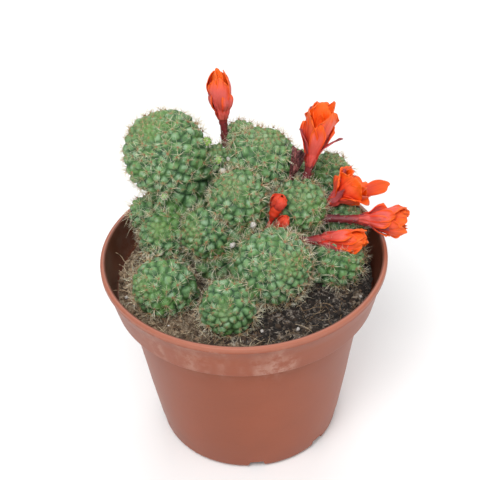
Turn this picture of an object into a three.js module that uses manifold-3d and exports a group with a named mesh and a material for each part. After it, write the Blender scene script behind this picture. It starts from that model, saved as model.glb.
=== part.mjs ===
// Potted round cactus: a thin plastic nursery pot, a bed of potting soil and a clump of
// sixteen globular stems with young offsets, five orange flowers, two buds and one withered flower.
// Units are millimetres, +Z is up, and the origin is the centre of the pot's underside.
// A person standing at -Y sees the front, with +X to the right.

import * as THREE from 'three';
import { mergeVertices } from 'three/addons/utils/BufferGeometryUtils.js';
import Module from 'manifold-3d';

const wasm = await Module();
wasm.setup();

// ---- Driving dimensions ---------------------------------------------------------------

const GAP = 0.3; // clearance left between two pieces that touch

const POT_HEIGHT = 79;
const RIM_RADIUS = 52.5; // outside of the rolled lip
const COLLAR_HEIGHT = 16.3; // the wider band below the rim
const COLLAR_FOOT_RADIUS = 48.5;
const SHOULDER_RADIUS = 44.2; // the body where it meets the collar
const BODY_MID_RADIUS = 40;
const BODY_LOW_RADIUS = 37.2;
const FOOT_RADIUS = 34.7; // where the body turns into the underside
const UNDERSIDE_RADIUS = 32.3;
const WALL = 1.2;
const FLOOR = 1.6;
const LIP_DROP = 2.2; // depth of the rolled lip
const LIP_WIDTH = 1.9;

const SLOT_COUNT = 8; // drain slots around the foot of the pot
const SLOT_WIDTH = 7;
const SLOT_HEIGHT = 2;
const SLOT_INNER_RADIUS = 29;
const FIRST_SLOT_ANGLE = -85; // degrees from +X, one slot faces the front

const SOIL_LEVEL = 68.5; // mean height of the soil's surface
const SOIL_TILT = 2; // the soil stands higher on the right
const SOIL_MOUND = 1.4;
const ROOTED_AT = 64; // height of the stems' lower ends, inside the soil

const PETAL_THICKNESS = 0.5;
const PETAL_RING_STEP = 0.95; // inner petals sit this far inside the outer ones
const PETALS_PER_RING = 3;
const PETAL_HALF_ANGLE = THREE.MathUtils.degToRad(54);
const TUBE_RADIUS = 1.35;
const OPEN_LEAN = 14; // degrees that a wide-open petal swings outwards
const THROAT_RADIUS = 2.5; // top of the floral tube, where the petals start

// ---- Stems: where each head's centre is, how wide it is, and where it is rooted --------
// Listed so that an earlier stem keeps its full shape and a later one is pressed against it.

const STEMS = [
  { name: 'stem_front_large', head: [10.2, -12, 80.9], radius: 13.6, foot: [6, -3], neck: 10.5 },
  { name: 'stem_tall_left', head: [-27, 26, 106.3], radius: 15.2, foot: [-21, 20.5], neck: 13.2 },
  { name: 'stem_front_left', head: [-29.5, -14.5, 76], radius: 10.4, foot: [-22, -9], neck: 8.5 },
  { name: 'stem_front_small', head: [-6.4, -27, 75.2], radius: 9.5, foot: [-5, -19], neck: 8 },
  { name: 'stem_right_front', head: [34.3, -4, 76.3], radius: 9.5, foot: [28, -3], neck: 8 },
  { name: 'stem_centre_right', head: [21, 10, 91.1], radius: 9.5, foot: [18, 8], neck: 7.5 },
  { name: 'stem_centre', head: [-0.8, 8, 97.8], radius: 9.8, foot: [1, 9], neck: 8 },
  { name: 'stem_back', head: [8.4, 25, 101.9], radius: 12, foot: [6, 24], neck: 9.5 },
  { name: 'stem_left_low', head: [-28.8, 8.8, 80.2], radius: 10, foot: [-26, 7], neck: 8 },
  { name: 'stem_centre_left', head: [-12.7, 4.5, 84.3], radius: 9.5, foot: [-11, 3], neck: 7.5 },
  { name: 'stem_right_low', head: [38, 15.5, 78.6], radius: 7.5, foot: [35, 13], neck: 6.2 },
  { name: 'stem_back_right', head: [33.5, 28.5, 91.5], radius: 8, foot: [27, 24], neck: 6.5 },
  { name: 'stem_left_back_low', head: [-35.5, 22, 82.5], radius: 6.5, foot: [-35.5, 17], neck: 5.2 },
  { name: 'stem_back_small', head: [1, 38.5, 102.5], radius: 7.2, foot: [2, 35], neck: 6 },
  { name: 'stem_back_hidden', head: [23, 35, 91], radius: 6.5, foot: [19, 33], neck: 5.2 },
  { name: 'stem_between', head: [-9.5, 29, 99], radius: 7, foot: [-9, 27], neck: 5.5 },
];

const OFFSETS = [
  { name: 'offset_centre', at: [-7.6, 23.6, 103.6], radius: 1.5 },
  { name: 'offset_tall_left', at: [-11.8, 26, 110.4], radius: 1.7 },
  { name: 'offset_low_left', at: [-27.8, 10.9, 97.6], radius: 1.2 },
];

// ---- Flowers: the point where each springs from its stem, its tip and its parts' sizes --

const FLOWERS = [
  {
    name: 'flower_back', base: [-4.6, 36, 102], tip: [-6.6, 38.9, 135.5], tube: 0.42,
    belly: 4.6, mouth: 2.9, turn: 20, spread: 0, open: [],
  },
  {
    name: 'flower_tall', base: [23.2, 15, 95.2], tip: [31.4, 22, 128.8], tube: 0.34,
    belly: 5, mouth: 4.9, turn: 75, spread: 3, open: [],
  },
  {
    name: 'flower_open', base: [28.2, 13, 85.6], tip: [45.2, 17.6, 97.5], tube: 0.34,
    belly: 5.2, mouth: 5.4, turn: 5, spread: 6, open: [0],
  },
  {
    name: 'flower_long', base: [27.6, 8, 86.7], tip: [61.5, 4, 86.6], tube: 0.52,
    belly: 4.6, mouth: 4.6, turn: 40, spread: 2, open: [],
  },
  {
    name: 'flower_low', base: [15.5, -0.8, 83.8], tip: [45, -7, 88], tube: 0.48,
    belly: 4.4, mouth: 3.6, turn: 10, spread: 0, open: [],
  },
];

const BUDS = [
  { name: 'bud_large', base: [7.6, 0.4, 84.6], tip: [14.4, 3.2, 101.4], radius: 2.7, stalk: 0.5 },
  { name: 'bud_small', base: [11.2, -1.2, 88.4], tip: [16.4, -0.2, 94.4], radius: 1.9, stalk: 0.4 },
  { name: 'flower_withered', base: [17.6, 16.4, 96], tip: [22.6, 19, 109.6], radius: 2.4, stalk: 0.25 },
];

// ---- Colours ---------------------------------------------------------------------------

const surface = (color, roughness) => new THREE.MeshStandardMaterial({ color, roughness, metalness: 0 });

const POT_PLASTIC = surface('#a06352', 0.45);
const SOIL = surface('#4b423b', 0.95);
const STEM_GREEN = surface('#5f8a57', 0.7);
const OFFSET_GREEN = surface('#8fbf5a', 0.6);
const TUBE_RED = surface('#9c4a4c', 0.6);
const PETAL_OUTER = surface('#e0523c', 0.5);
const PETAL_INNER = surface('#f4501a', 0.5);
const BUD_RED = surface('#d8432f', 0.5);
const WITHERED_MAROON = surface('#5a2a2c', 0.8);

// ---- Turning geometry into solids and back ----------------------------------------------

/** A closed solid from a geometry whose seams are closed by merging equal points. */
function solid(geometry) {
  const bare = geometry.index ? geometry.toNonIndexed() : geometry.clone();
  bare.deleteAttribute('normal');
  bare.deleteAttribute('uv');
  const merged = mergeVertices(bare, 1e-4);
  const corners = [];
  const index = merged.index.array;
  for (let i = 0; i < index.length; i += 3) {
    const [a, b, c] = [index[i], index[i + 1], index[i + 2]];
    if (a !== b && b !== c && c !== a) corners.push(a, b, c);
  }
  const mesh = new wasm.Mesh({
    numProp: 3,
    vertProperties: new Float32Array(merged.attributes.position.array),
    triVerts: new Uint32Array(corners),
  });
  const made = new wasm.Manifold(mesh);
  if (made.volume() <= 0) throw new Error('a solid is inside out');
  return made;
}

/** The largest body of a solid, for one that a cut has split. */
function largest(body) {
  const bodies = body.decompose();
  return bodies.reduce((best, next) => (next.volume() > best.volume() ? next : best));
}

function geometryOf(body) {
  const mesh = body.getMesh();
  const geometry = new THREE.BufferGeometry();
  geometry.setAttribute('position', new THREE.BufferAttribute(new Float32Array(mesh.vertProperties), 3));
  geometry.setIndex(new THREE.BufferAttribute(new Uint32Array(mesh.triVerts), 1));
  geometry.computeVertexNormals();
  return geometry;
}

const part = new THREE.Group();

function addPiece(name, body, material) {
  const mesh = new THREE.Mesh(geometryOf(body), material);
  mesh.name = name;
  part.add(mesh);
}

/** Lathe about +Z: the profile is a list of [radius, height]. */
function turned(profile, segments) {
  const points = profile.map(([radius, height]) => new THREE.Vector2(radius, height));
  return new THREE.LatheGeometry(points, segments).rotateX(Math.PI / 2);
}

/** Moves a geometry made along +Z so that it starts at `from` and points to `to`. */
function aimed(geometry, from, to) {
  const direction = to.clone().sub(from).normalize();
  const turn = new THREE.Quaternion().setFromUnitVectors(new THREE.Vector3(0, 0, 1), direction);
  return geometry.applyQuaternion(turn).translate(from.x, from.y, from.z);
}

const vector = ([x, y, z]) => new THREE.Vector3(x, y, z);

// ---- Pot ----------------------------------------------------------------------------------

const SHOULDER_HEIGHT = POT_HEIGHT - COLLAR_HEIGHT;

/** Outside of the pot from the underside's centre up to the lip. */
function potOutside() {
  return [
    [0, 0],
    [UNDERSIDE_RADIUS, 0],
    [FOOT_RADIUS - 0.7, 1.6],
    [FOOT_RADIUS, 4],
    [BODY_LOW_RADIUS, 18],
    [BODY_MID_RADIUS, 36],
    [SHOULDER_RADIUS, SHOULDER_HEIGHT - 0.6],
    [COLLAR_FOOT_RADIUS - 0.5, SHOULDER_HEIGHT],
    [COLLAR_FOOT_RADIUS, SHOULDER_HEIGHT + 0.8],
    [RIM_RADIUS - 0.8, POT_HEIGHT - LIP_DROP - 0.4],
    [RIM_RADIUS, POT_HEIGHT - LIP_DROP + 0.3],
    [RIM_RADIUS, POT_HEIGHT - 0.7],
    [RIM_RADIUS - 0.7, POT_HEIGHT],
  ];
}

/** Inside of the pot from the lip down to the floor's centre. */
function potInside() {
  return [
    [RIM_RADIUS - LIP_WIDTH + 0.5, POT_HEIGHT],
    [RIM_RADIUS - LIP_WIDTH, POT_HEIGHT - 0.6],
    [COLLAR_FOOT_RADIUS - WALL, SHOULDER_HEIGHT + WALL + 0.8],
    [SHOULDER_RADIUS - WALL, SHOULDER_HEIGHT + WALL - 0.4],
    [BODY_MID_RADIUS - WALL, 36],
    [BODY_LOW_RADIUS - WALL, 18],
    [FOOT_RADIUS - WALL, 5],
    [UNDERSIDE_RADIUS - WALL, FLOOR],
    [0, FLOOR],
  ];
}

/** One drain slot: a bar with sloping ends, cut through the foot's edge along +X. */
function drainSlot() {
  const half = SLOT_WIDTH / 2;
  const section = new THREE.Shape([
    new THREE.Vector2(-half - 1, -1),
    new THREE.Vector2(half + 1, -1),
    new THREE.Vector2(half - 1, SLOT_HEIGHT),
    new THREE.Vector2(-half + 1, SLOT_HEIGHT),
  ]);
  const length = FOOT_RADIUS + 2 - SLOT_INNER_RADIUS;
  const bar = new THREE.ExtrudeGeometry(section, { depth: length, bevelEnabled: false });
  return bar.rotateX(Math.PI / 2).rotateZ(Math.PI / 2).translate(SLOT_INNER_RADIUS, 0, 0);
}

function makePot() {
  let body = solid(turned([...potOutside(), ...potInside()], 40));
  for (let i = 0; i < SLOT_COUNT; i += 1) {
    const angle = THREE.MathUtils.degToRad(FIRST_SLOT_ANGLE + (360 / SLOT_COUNT) * i);
    body = body.subtract(solid(drainSlot().rotateZ(angle)));
  }
  return body;
}

// ---- Stems ---------------------------------------------------------------------------------

/** A club: a narrow neck that swells into a round head. `grow` makes it larger all over. */
function clubGeometry(stem, grow) {
  const head = vector(stem.head);
  const foot = new THREE.Vector3(stem.foot[0], stem.foot[1], ROOTED_AT);
  const length = head.distanceTo(foot);
  const radius = stem.radius + grow;
  const neck = stem.neck + grow;
  const profile = [[0, -grow], [neck * 0.7, -grow], [neck, 2]];
  const belly = length - radius * 0.75;
  if (belly > 6) profile.push([neck + (radius - neck) * 0.3, belly * 0.6], [radius * 0.86, belly]);
  for (const degrees of [-22, 5, 32, 58, 78]) {
    const angle = THREE.MathUtils.degToRad(degrees);
    profile.push([radius * Math.cos(angle), length + radius * Math.sin(angle)]);
  }
  profile.push([0, length + radius]);
  return aimed(turned(profile, 16), foot, head);
}

const stemBodies = [];
const grownStems = STEMS.map((stem) => solid(clubGeometry(stem, GAP)));

STEMS.forEach((stem, index) => {
  const neighbours = grownStems.slice(0, index);
  const pressed = neighbours.reduce((body, other) => body.subtract(other), solid(clubGeometry(stem, 0)));
  const body = largest(pressed);
  stemBodies.push(body);
  addPiece(stem.name, body, STEM_GREEN);
});

/** Cuts every stem, with its clearance, out of a piece. */
const clearOfStems = (body) => largest(grownStems.reduce((left, stem) => left.subtract(stem), body));

for (const { name, at, radius } of OFFSETS) {
  const ball = new THREE.SphereGeometry(radius, 10, 7).translate(...at);
  addPiece(name, clearOfStems(solid(ball)), OFFSET_GREEN);
}

// ---- Soil -----------------------------------------------------------------------------------

/** Height of the soil's surface at a point. */
function soilHeight(x, y) {
  const mound = Math.sin(x / 9 + 1) * Math.cos(y / 11) + 0.6 * Math.sin((x + y) / 6);
  return SOIL_LEVEL + SOIL_TILT * (x / RIM_RADIUS) + SOIL_MOUND * mound * 0.6;
}

function makeSoil() {
  const wall = potInside().slice(2, 8).reverse();
  const side = wall.map(([radius, height]) => [radius - GAP, height + GAP]);
  const brim = COLLAR_FOOT_RADIUS - WALL - GAP;
  const top = [1, 0.8, 0.55, 0.3].map((share) => [brim * share, SOIL_LEVEL]);
  const outline = [[0, FLOOR + GAP], ...side, ...top, [0, SOIL_LEVEL]];
  const bed = turned(outline, 24);
  const points = bed.attributes.position;
  for (let i = 0; i < points.count; i += 1) {
    if (points.getZ(i) > SOIL_LEVEL - 0.01) points.setZ(i, soilHeight(points.getX(i), points.getY(i)));
  }
  return clearOfStems(solid(bed));
}

// ---- Flowers ----------------------------------------------------------------------------------

/** The floral tube: a slim stalk that flares to the throat. */
function tubeGeometry(length) {
  const profile = [
    [0, 0],
    [TUBE_RADIUS * 1.15, 0],
    [TUBE_RADIUS, length * 0.3],
    [TUBE_RADIUS * 1.05, length * 0.65],
    [THROAT_RADIUS, length - 0.6],
    [THROAT_RADIUS, length],
    [0, length],
  ];
  return turned(profile, 10);
}

/** One petal, a curved shell along +Z that starts at the throat; `inset` moves it inwards. */
function petalGeometry(flower, length, inset, lean) {
  const reach = new THREE.SplineCurve([
    new THREE.Vector2(THROAT_RADIUS - 0.2, 0),
    new THREE.Vector2(flower.belly, length * 0.45),
    new THREE.Vector2(flower.mouth, length),
  ]);
  const shell = new THREE.BoxGeometry(2, 1, 1, 3, 1, 5);
  const points = shell.attributes.position;
  for (let i = 0; i < points.count; i += 1) {
    const along = points.getZ(i) + 0.5;
    const depth = points.getY(i) + 0.5; // 0 inside, 1 outside
    const outline = 0.72 + 0.28 * Math.sin(Math.PI * Math.min(1, along / 0.7)) - 0.3 * along ** 4;
    const angle = points.getX(i) * PETAL_HALF_ANGLE * outline;
    const spot = reach.getPoint(along);
    const radius = spot.x - inset - PETAL_THICKNESS * (1 - depth);
    const rounded = spot.y - length * 0.16 * along ** 3 * points.getX(i) ** 2;
    points.setXYZ(i, radius * Math.cos(angle), radius * Math.sin(angle), rounded);
  }
  // A leaning petal swings outwards about the throat's edge.
  shell.translate(-THROAT_RADIUS, 0, 0).rotateY(lean).translate(THROAT_RADIUS, 0, 0);
  return shell;
}

/** Petal shells are mapped mirror-wise from a box, so their faces are turned to point out. */
function petalSolid(geometry) {
  const made = geometry.toNonIndexed();
  const points = made.attributes.position;
  for (let i = 0; i < points.count; i += 3) {
    const [x, y, z] = [points.getX(i), points.getY(i), points.getZ(i)];
    points.setXYZ(i, points.getX(i + 1), points.getY(i + 1), points.getZ(i + 1));
    points.setXYZ(i + 1, x, y, z);
  }
  return solid(made);
}

function addFlower(flower) {
  const base = vector(flower.base);
  const tip = vector(flower.tip);
  const total = base.distanceTo(tip);
  const tubeLength = total * flower.tube;
  const bloomLength = total - tubeLength - GAP;
  const tube = aimed(tubeGeometry(tubeLength), base, tip);
  addPiece(`${flower.name}_tube`, clearOfStems(solid(tube)), TUBE_RED);

  for (let i = 0; i < PETALS_PER_RING * 2; i += 1) {
    const isInner = i >= PETALS_PER_RING;
    const inset = isInner ? PETAL_RING_STEP : 0;
    const lean = flower.open.includes(i) ? OPEN_LEAN : flower.spread * (isInner ? 0.4 : 1);
    const angle = flower.turn + (360 / PETALS_PER_RING) * i + (isInner ? 180 / PETALS_PER_RING : 0);
    const reach = bloomLength * (isInner ? 1 : 0.93);
    const petal = petalGeometry(flower, reach, inset, THREE.MathUtils.degToRad(lean));
    petal.rotateZ(THREE.MathUtils.degToRad(angle)).translate(0, 0, tubeLength + GAP);
    const ring = isInner ? 'inner' : 'outer';
    const name = `${flower.name}_petal_${ring}_${(i % PETALS_PER_RING) + 1}`;
    addPiece(name, clearOfStems(petalSolid(aimed(petal, base, tip))), isInner ? PETAL_INNER : PETAL_OUTER);
  }
}

function addBud(bud, material) {
  const base = vector(bud.base);
  const tip = vector(bud.tip);
  const length = base.distanceTo(tip);
  const stalk = length * bud.stalk;
  const profile = [[0, 0], [1, 0], [1.1, stalk * 0.7]];
  const half = (length - stalk) / 2;
  for (const degrees of [-60, -30, 0, 30, 60]) {
    const angle = THREE.MathUtils.degToRad(degrees);
    profile.push([bud.radius * Math.cos(angle), stalk + half + half * Math.sin(angle)]);
  }
  profile.push([0, length]);
  addPiece(bud.name, clearOfStems(solid(aimed(turned(profile, 10), base, tip))), material);
}

addPiece('pot', makePot(), POT_PLASTIC);
addPiece('soil', makeSoil(), SOIL);
FLOWERS.forEach(addFlower);
BUDS.forEach((bud) => addBud(bud, bud.name === 'flower_withered' ? WITHERED_MAROON : BUD_RED));

export default part;
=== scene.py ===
"""Potted round cactus: the finished looks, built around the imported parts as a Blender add-on.

Everything is in metres in the parts' own frame: +Z up, the viewer stands at -Y, and the origin
is the centre of the pot's underside.
"""

import math
import random

import bmesh
import bpy
import numpy as np
from bpy.props import (
    FloatProperty, FloatVectorProperty, IntProperty, PointerProperty,
)
from mathutils import Matrix, Vector, noise


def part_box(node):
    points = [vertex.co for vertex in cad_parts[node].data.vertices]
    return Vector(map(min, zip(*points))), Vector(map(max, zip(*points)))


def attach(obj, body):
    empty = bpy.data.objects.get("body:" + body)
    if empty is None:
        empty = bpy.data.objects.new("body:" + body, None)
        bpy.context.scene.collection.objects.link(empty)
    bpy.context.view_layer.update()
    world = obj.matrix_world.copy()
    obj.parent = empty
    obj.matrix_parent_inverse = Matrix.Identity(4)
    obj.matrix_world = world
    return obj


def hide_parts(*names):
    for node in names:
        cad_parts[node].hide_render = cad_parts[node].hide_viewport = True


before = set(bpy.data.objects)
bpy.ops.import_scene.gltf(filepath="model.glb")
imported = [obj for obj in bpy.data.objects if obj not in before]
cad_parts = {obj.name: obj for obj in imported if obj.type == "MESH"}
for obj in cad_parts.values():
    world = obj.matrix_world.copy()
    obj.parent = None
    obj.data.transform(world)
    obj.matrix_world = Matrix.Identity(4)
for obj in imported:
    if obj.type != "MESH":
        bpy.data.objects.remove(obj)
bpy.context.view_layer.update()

bl_info = {
    "name": "Potted Round Cactus",
    "version": (1, 0, 0),
    "blender": (4, 5, 0),
    "location": "3D View > Sidebar > Cactus",
    "description": "Builds a clump of round cactus stems with orange flowers in a plastic pot",
    "category": "Add Mesh",
}

MM = 0.001
GOLDEN_ANGLE = math.radians(137.508)
BODY = "root"

POT_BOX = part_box("pot")
SOIL_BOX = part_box("soil")
POT_HEIGHT = POT_BOX[1].z
RIM_RADIUS = POT_BOX[1].x
SOIL_LEVEL = SOIL_BOX[1].z - 2.4 * MM
SOIL_BRIM = 47 * MM  # radius at which the soil meets the wall
POT_FLOOR = 1.6 * MM
COLLAR_SLOPE = 0.198  # how far the collar leans outwards for its height
CAMERA_TARGET = Vector((-1.1 * MM, 2.63 * MM, 82.3 * MM))
VIEWER_WAY = np.array([0, -0.75, 0.66])  # from the clump towards a viewer in front of it


def from_srgb(red, green, blue):
    """A screen colour, 0 to 255 a channel, as the linear colour that a shader takes."""
    def channel(value):
        value /= 255
        return value / 12.92 if value <= 0.04045 else ((value + 0.055) / 1.055) ** 2.4
    return tuple(channel(value) for value in (red, green, blue))


def tinted(colour, *factors):
    """A colour with its channels multiplied, none past 1; a lone factor serves all three."""
    factors = factors * 3 if len(factors) == 1 else factors
    return tuple(min(1.0, part * factor) for part, factor in zip(colour, factors))


# ---- Shader arithmetic ------------------------------------------------------------------


class Wire:
    """A node's output that takes part in shader arithmetic, each step adding a Math node."""

    def __init__(self, finish, socket):
        self.finish = finish
        self.socket = socket

    def math(self, operation, *others):
        values = dict(enumerate((self, *others)))
        return self.finish.node("ShaderNodeMath", {"operation": operation}, values)

    def __add__(self, other):
        return self.math("ADD", other)

    __radd__ = __add__

    def __sub__(self, other):
        return self.math("SUBTRACT", other)

    def __rsub__(self, other):
        return (self * -1).math("ADD", other)

    def __mul__(self, other):
        return self.math("MULTIPLY", other)

    __rmul__ = __mul__

    def step(self, low, high):
        """Rises smoothly from 0 at low to 1 at high."""
        settings = {"interpolation_type": "SMOOTHSTEP"}
        return self.finish.node("ShaderNodeMapRange", settings, {0: self, 1: low, 2: high})


class Finish:
    """One material under construction."""

    def __init__(self, name):
        self.material = bpy.data.materials.new(name)
        self.material.use_nodes = True
        self.tree = self.material.node_tree
        self.tree.nodes.clear()
        self.shader = self.tree.nodes.new("ShaderNodeBsdfPrincipled")
        output = self.tree.nodes.new("ShaderNodeOutputMaterial")
        self.tree.links.new(self.shader.outputs[0], output.inputs["Surface"])

    def join(self, socket, value):
        """Links a wire to a socket, or sets the socket's own value."""
        if isinstance(value, Wire):
            self.tree.links.new(value.socket, socket)
        elif isinstance(value, tuple) and socket.type == "RGBA" and len(value) == 3:
            socket.default_value = (*value, 1.0)
        else:
            socket.default_value = value

    def node(self, kind, settings=None, sockets=None, output=0):
        """Adds a node: its settings first, then the values or wires of its sockets."""
        made = self.tree.nodes.new(kind)
        for name, value in (settings or {}).items():
            if name == "stops":
                self.set_stops(made.color_ramp, value)
            else:
                setattr(made, name, value)
        for key, value in (sockets or {}).items():
            self.join(made.inputs[key], value)
        return Wire(self, made.outputs[output])

    @staticmethod
    def set_stops(ramp, stops):
        while len(ramp.elements) < len(stops):
            ramp.elements.new(0.5)
        for element, (position, colour) in zip(ramp.elements, stops):
            element.position = position
            element.color = (*colour, 1.0)

    def place(self):
        return self.node("ShaderNodeTexCoord", output="Object")

    def axis(self, name, where=None):
        return self.node("ShaderNodeSeparateXYZ", {}, {0: where or self.place()}, output=name)

    def noise(self, scale, detail=3.0, where=None, stretch=None, roughness=0.55):
        where = where or self.place()
        if stretch:
            where = self.node("ShaderNodeMapping", {}, {"Vector": where, "Scale": stretch})
        sockets = {"Vector": where, "Scale": scale, "Detail": detail, "Roughness": roughness}
        return self.node("ShaderNodeTexNoise", {}, sockets)

    def cells(self, scale):
        return self.node("ShaderNodeTexVoronoi", {}, {"Vector": self.place(), "Scale": scale})

    def attribute(self, name):
        return self.node("ShaderNodeAttribute", {"attribute_name": name}, output="Fac")

    def ramp(self, value, *stops):
        return self.node("ShaderNodeValToRGB", {"stops": stops}, {"Fac": value})

    def mix(self, share, first, second):
        """The second colour over the first; the node holds the share between 0 and 1."""
        sockets = {0: share, 6: first, 7: second}
        return self.node("ShaderNodeMix", {"data_type": "RGBA"}, sockets, output=2)

    def bump(self, height, distance, strength=1.0):
        sockets = {"Height": height, "Distance": distance, "Strength": strength}
        return self.node("ShaderNodeBump", {}, sockets)

    def finished(self, **sockets):
        """Sets the shader's sockets, named with underscores for spaces."""
        for name, value in sockets.items():
            self.join(self.shader.inputs[name.replace("_", " ")], value)
        return self.material


# ---- Materials --------------------------------------------------------------------------


def pot_plastic(colour):
    """Satin terracotta-coloured plastic with scuffs, pale mineral stains, a painted highlight on the lip
    and painted shade on the inner wall.
    """
    make = Finish("pot_plastic")
    height, across_x, across_y = (make.axis(name) for name in "ZXY")
    broad = make.noise(28, 4)
    fine = make.noise(900, 2)
    streaks = make.noise(60, 4, stretch=(1.0, 1.0, 0.22))
    worn = make.noise(240, 5, roughness=0.7)
    base = make.mix(broad.step(0.35, 0.7), tinted(colour, 0.93), tinted(colour, 1.06))
    # The stains gather on the collar below the lip, and more of them on the left.
    chalk = from_srgb(196, 160, 144)
    on_collar = height.step(52 * MM, 66 * MM) * (1 - height.step(76.5 * MM, 78.5 * MM))
    left = across_x.step(4 * MM, -20 * MM)
    stain = (streaks + left * 0.12).step(0.52, 0.7) * worn.step(0.38, 0.6) * on_collar * 0.42
    base = make.mix(stain, base, chalk)
    base = make.mix(streaks.step(0.6, 0.78) * worn.step(0.48, 0.66) * 0.22, base, chalk)
    # Painted highlight: the rolled lip is lightened where light glints on it.
    lip = height.step(76.8 * MM, 78.2 * MM)
    base = make.mix(lip * 0.4, base, from_srgb(190, 126, 106))
    # Painted shade on the inner side of the collar: everything nearer the axis than the wall's middle is
    # darkened.
    radius = (across_x * across_x + across_y * across_y).math("SQRT")
    wall_middle = (height - 71.2 * MM) * COLLAR_SLOPE + 49.85 * MM
    within = (wall_middle - radius).step(0.0, 0.3 * MM) * height.step(63 * MM, 67 * MM)
    base = make.mix(within * (worn * 0.4 + 0.45), base, from_srgb(58, 36, 30))
    base = make.mix(fine.step(0.55, 0.75) * 0.12, base, from_srgb(112, 60, 46))
    rings = make.noise(420, 2, stretch=(0.05, 0.05, 1.0))
    relief = fine * 0.35 + rings * 0.5 + worn * 0.3
    return make.finished(
        Base_Color=base, Roughness=0.36 + broad * 0.12 + stain * 0.3,
        Normal=make.bump(relief, 0.06 * MM, 0.6),
        Specular_IOR_Level=0.3, Subsurface_Weight=0.04, Subsurface_Scale=2 * MM,
    )


def soil_peat():
    """Dark moist peat that turns to light brown coir at the left and in patches."""
    make = Finish("soil_peat")
    grain = make.noise(1100, 5, roughness=0.75)
    clods = make.noise(230, 5, roughness=0.65)
    patches = make.noise(60, 3)
    left_part = 1 - (make.axis("X") + patches * 0.03).step(-20 * MM, 12 * MM)
    coir_part = left_part * 0.75 + patches.step(0.55, 0.68) * 0.5
    mixed = grain * 0.55 + clods * 0.45
    peat = make.ramp(
        mixed, (0.41, from_srgb(10, 9, 8)), (0.49, from_srgb(46, 40, 36)),
        (0.54, from_srgb(104, 94, 86)), (0.61, from_srgb(176, 164, 150)),
    )
    coir = make.ramp(
        mixed, (0.36, from_srgb(58, 45, 34)), (0.45, from_srgb(140, 116, 90)),
        (0.52, from_srgb(190, 166, 136)), (0.6, from_srgb(222, 204, 176)),
    )
    base = make.mix(coir_part, peat, coir)
    return make.finished(Base_Color=base, Roughness=0.94, Normal=make.bump(grain + clods, 0.0009))


def crumb():
    """Crumbs of peat and bark, from almost black to light brown by their tone."""
    make = Finish("soil_crumb")
    tone = make.attribute("tone")
    grain = make.noise(1500, 4)
    base = make.ramp(
        tone, (0.0, from_srgb(22, 18, 15)), (0.4, from_srgb(58, 46, 38)),
        (0.72, from_srgb(126, 102, 80)), (1.0, from_srgb(188, 162, 132)),
    )
    base = make.mix(grain.step(0.3, 0.7) * 0.4, base, from_srgb(36, 29, 25))
    return make.finished(Base_Color=base, Roughness=0.95, Normal=make.bump(grain, 0.0003))


def coir_fibre():
    """Loose straw-coloured strands of coir."""
    make = Finish("coir_fibre")
    tone = make.attribute("tone")
    grain = make.noise(2500, 2)
    base = make.ramp(
        tone * 0.8 + grain * 0.2, (0.1, from_srgb(84, 62, 44)), (0.5, from_srgb(150, 122, 92)),
        (0.9, from_srgb(226, 206, 172)),
    )
    return make.finished(Base_Color=base, Roughness=0.85, Normal=make.bump(grain, 0.0001))


def perlite():
    """Pitted off-white grains."""
    make = Finish("perlite")
    grain = make.noise(1900, 4)
    pits = make.cells(2600)
    base = make.ramp(
        grain, (0.25, from_srgb(140, 130, 126)), (0.5, from_srgb(206, 200, 194)),
        (0.75, from_srgb(236, 232, 226)),
    )
    return make.finished(Base_Color=base, Roughness=0.9, Normal=make.bump(pits * 0.6 + grain, 0.0003))


def cactus_skin(name, colour):
    """Waxy green skin: painted highlights on the tubercles' tops, painted shade in the valleys and in
    random blotches, corky when old.
    """
    make = Finish(name)
    relief = make.attribute("relief")
    age = make.attribute("age")
    patch = make.noise(95, 3)
    blotch = make.noise(420, 3)
    fine = make.noise(1500, 4)
    # Painted shade and painted highlight: the valleys between tubercles take the shade colour and their
    # tops the bright one.
    shade = tinted(colour, 0.18, 0.28, 0.36)
    bright = tinted(colour, 2.3, 1.8, 2.2)
    fresh = tinted(colour, 1.35, 1.3, 0.72)
    height = relief * 0.8 + (fine - 0.5) * 0.4 + (blotch - 0.5) * 0.5 + 0.08
    base = make.ramp(height, (-0.08, shade), (0.36, colour), (0.95, bright))
    base = make.mix(patch.step(0.45, 0.63) * 0.6, base, fresh)
    # Painted shade in random blotches.
    base = make.mix(blotch.step(0.5, 0.34) * 0.5, base, shade)
    # Pale bluish patches on the tubercles' tops: partly the skin's waxy bloom, partly a painted
    # highlight.
    glaucous_and_highlight = make.noise(330, 4).step(0.52, 0.64) * relief.step(0.1, 0.6) * 0.55
    base = make.mix(glaucous_and_highlight, base, from_srgb(150, 180, 150))
    base = make.mix((1 - age.step(0.0, 0.2)) * 0.3, base, from_srgb(140, 168, 104))
    corky = age.step(0.7, 1.0) * make.noise(300, 4).step(0.4, 0.62) * 0.8
    base = make.mix(corky, base, from_srgb(112, 98, 64))
    freckle = make.noise(2600, 2).step(0.62, 0.72) * 0.3
    base = make.mix(freckle, base, from_srgb(180, 196, 152))
    return make.finished(
        Base_Color=base, Roughness=0.46 + fine * 0.2, Normal=make.bump(fine + blotch, 0.00025, 0.8),
        Subsurface_Weight=0.06, Subsurface_Scale=0.001, Subsurface_Radius=(0.5, 1.0, 0.3),
    )


def areole_felt():
    """Matted felt, cream when young and brown when old."""
    make = Finish("areole_felt")
    age = make.attribute("tone")
    fuzz = make.noise(5200, 3)
    base = make.ramp(
        age, (0.0, from_srgb(214, 200, 170)), (0.25, from_srgb(176, 132, 94)),
        (0.6, from_srgb(140, 96, 68)), (1.0, from_srgb(98, 74, 58)),
    )
    base = make.mix(fuzz.step(0.5, 0.72) * 0.35, base, from_srgb(214, 190, 156))
    return make.finished(Base_Color=base, Roughness=0.95, Normal=make.bump(fuzz, 0.0002))


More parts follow.
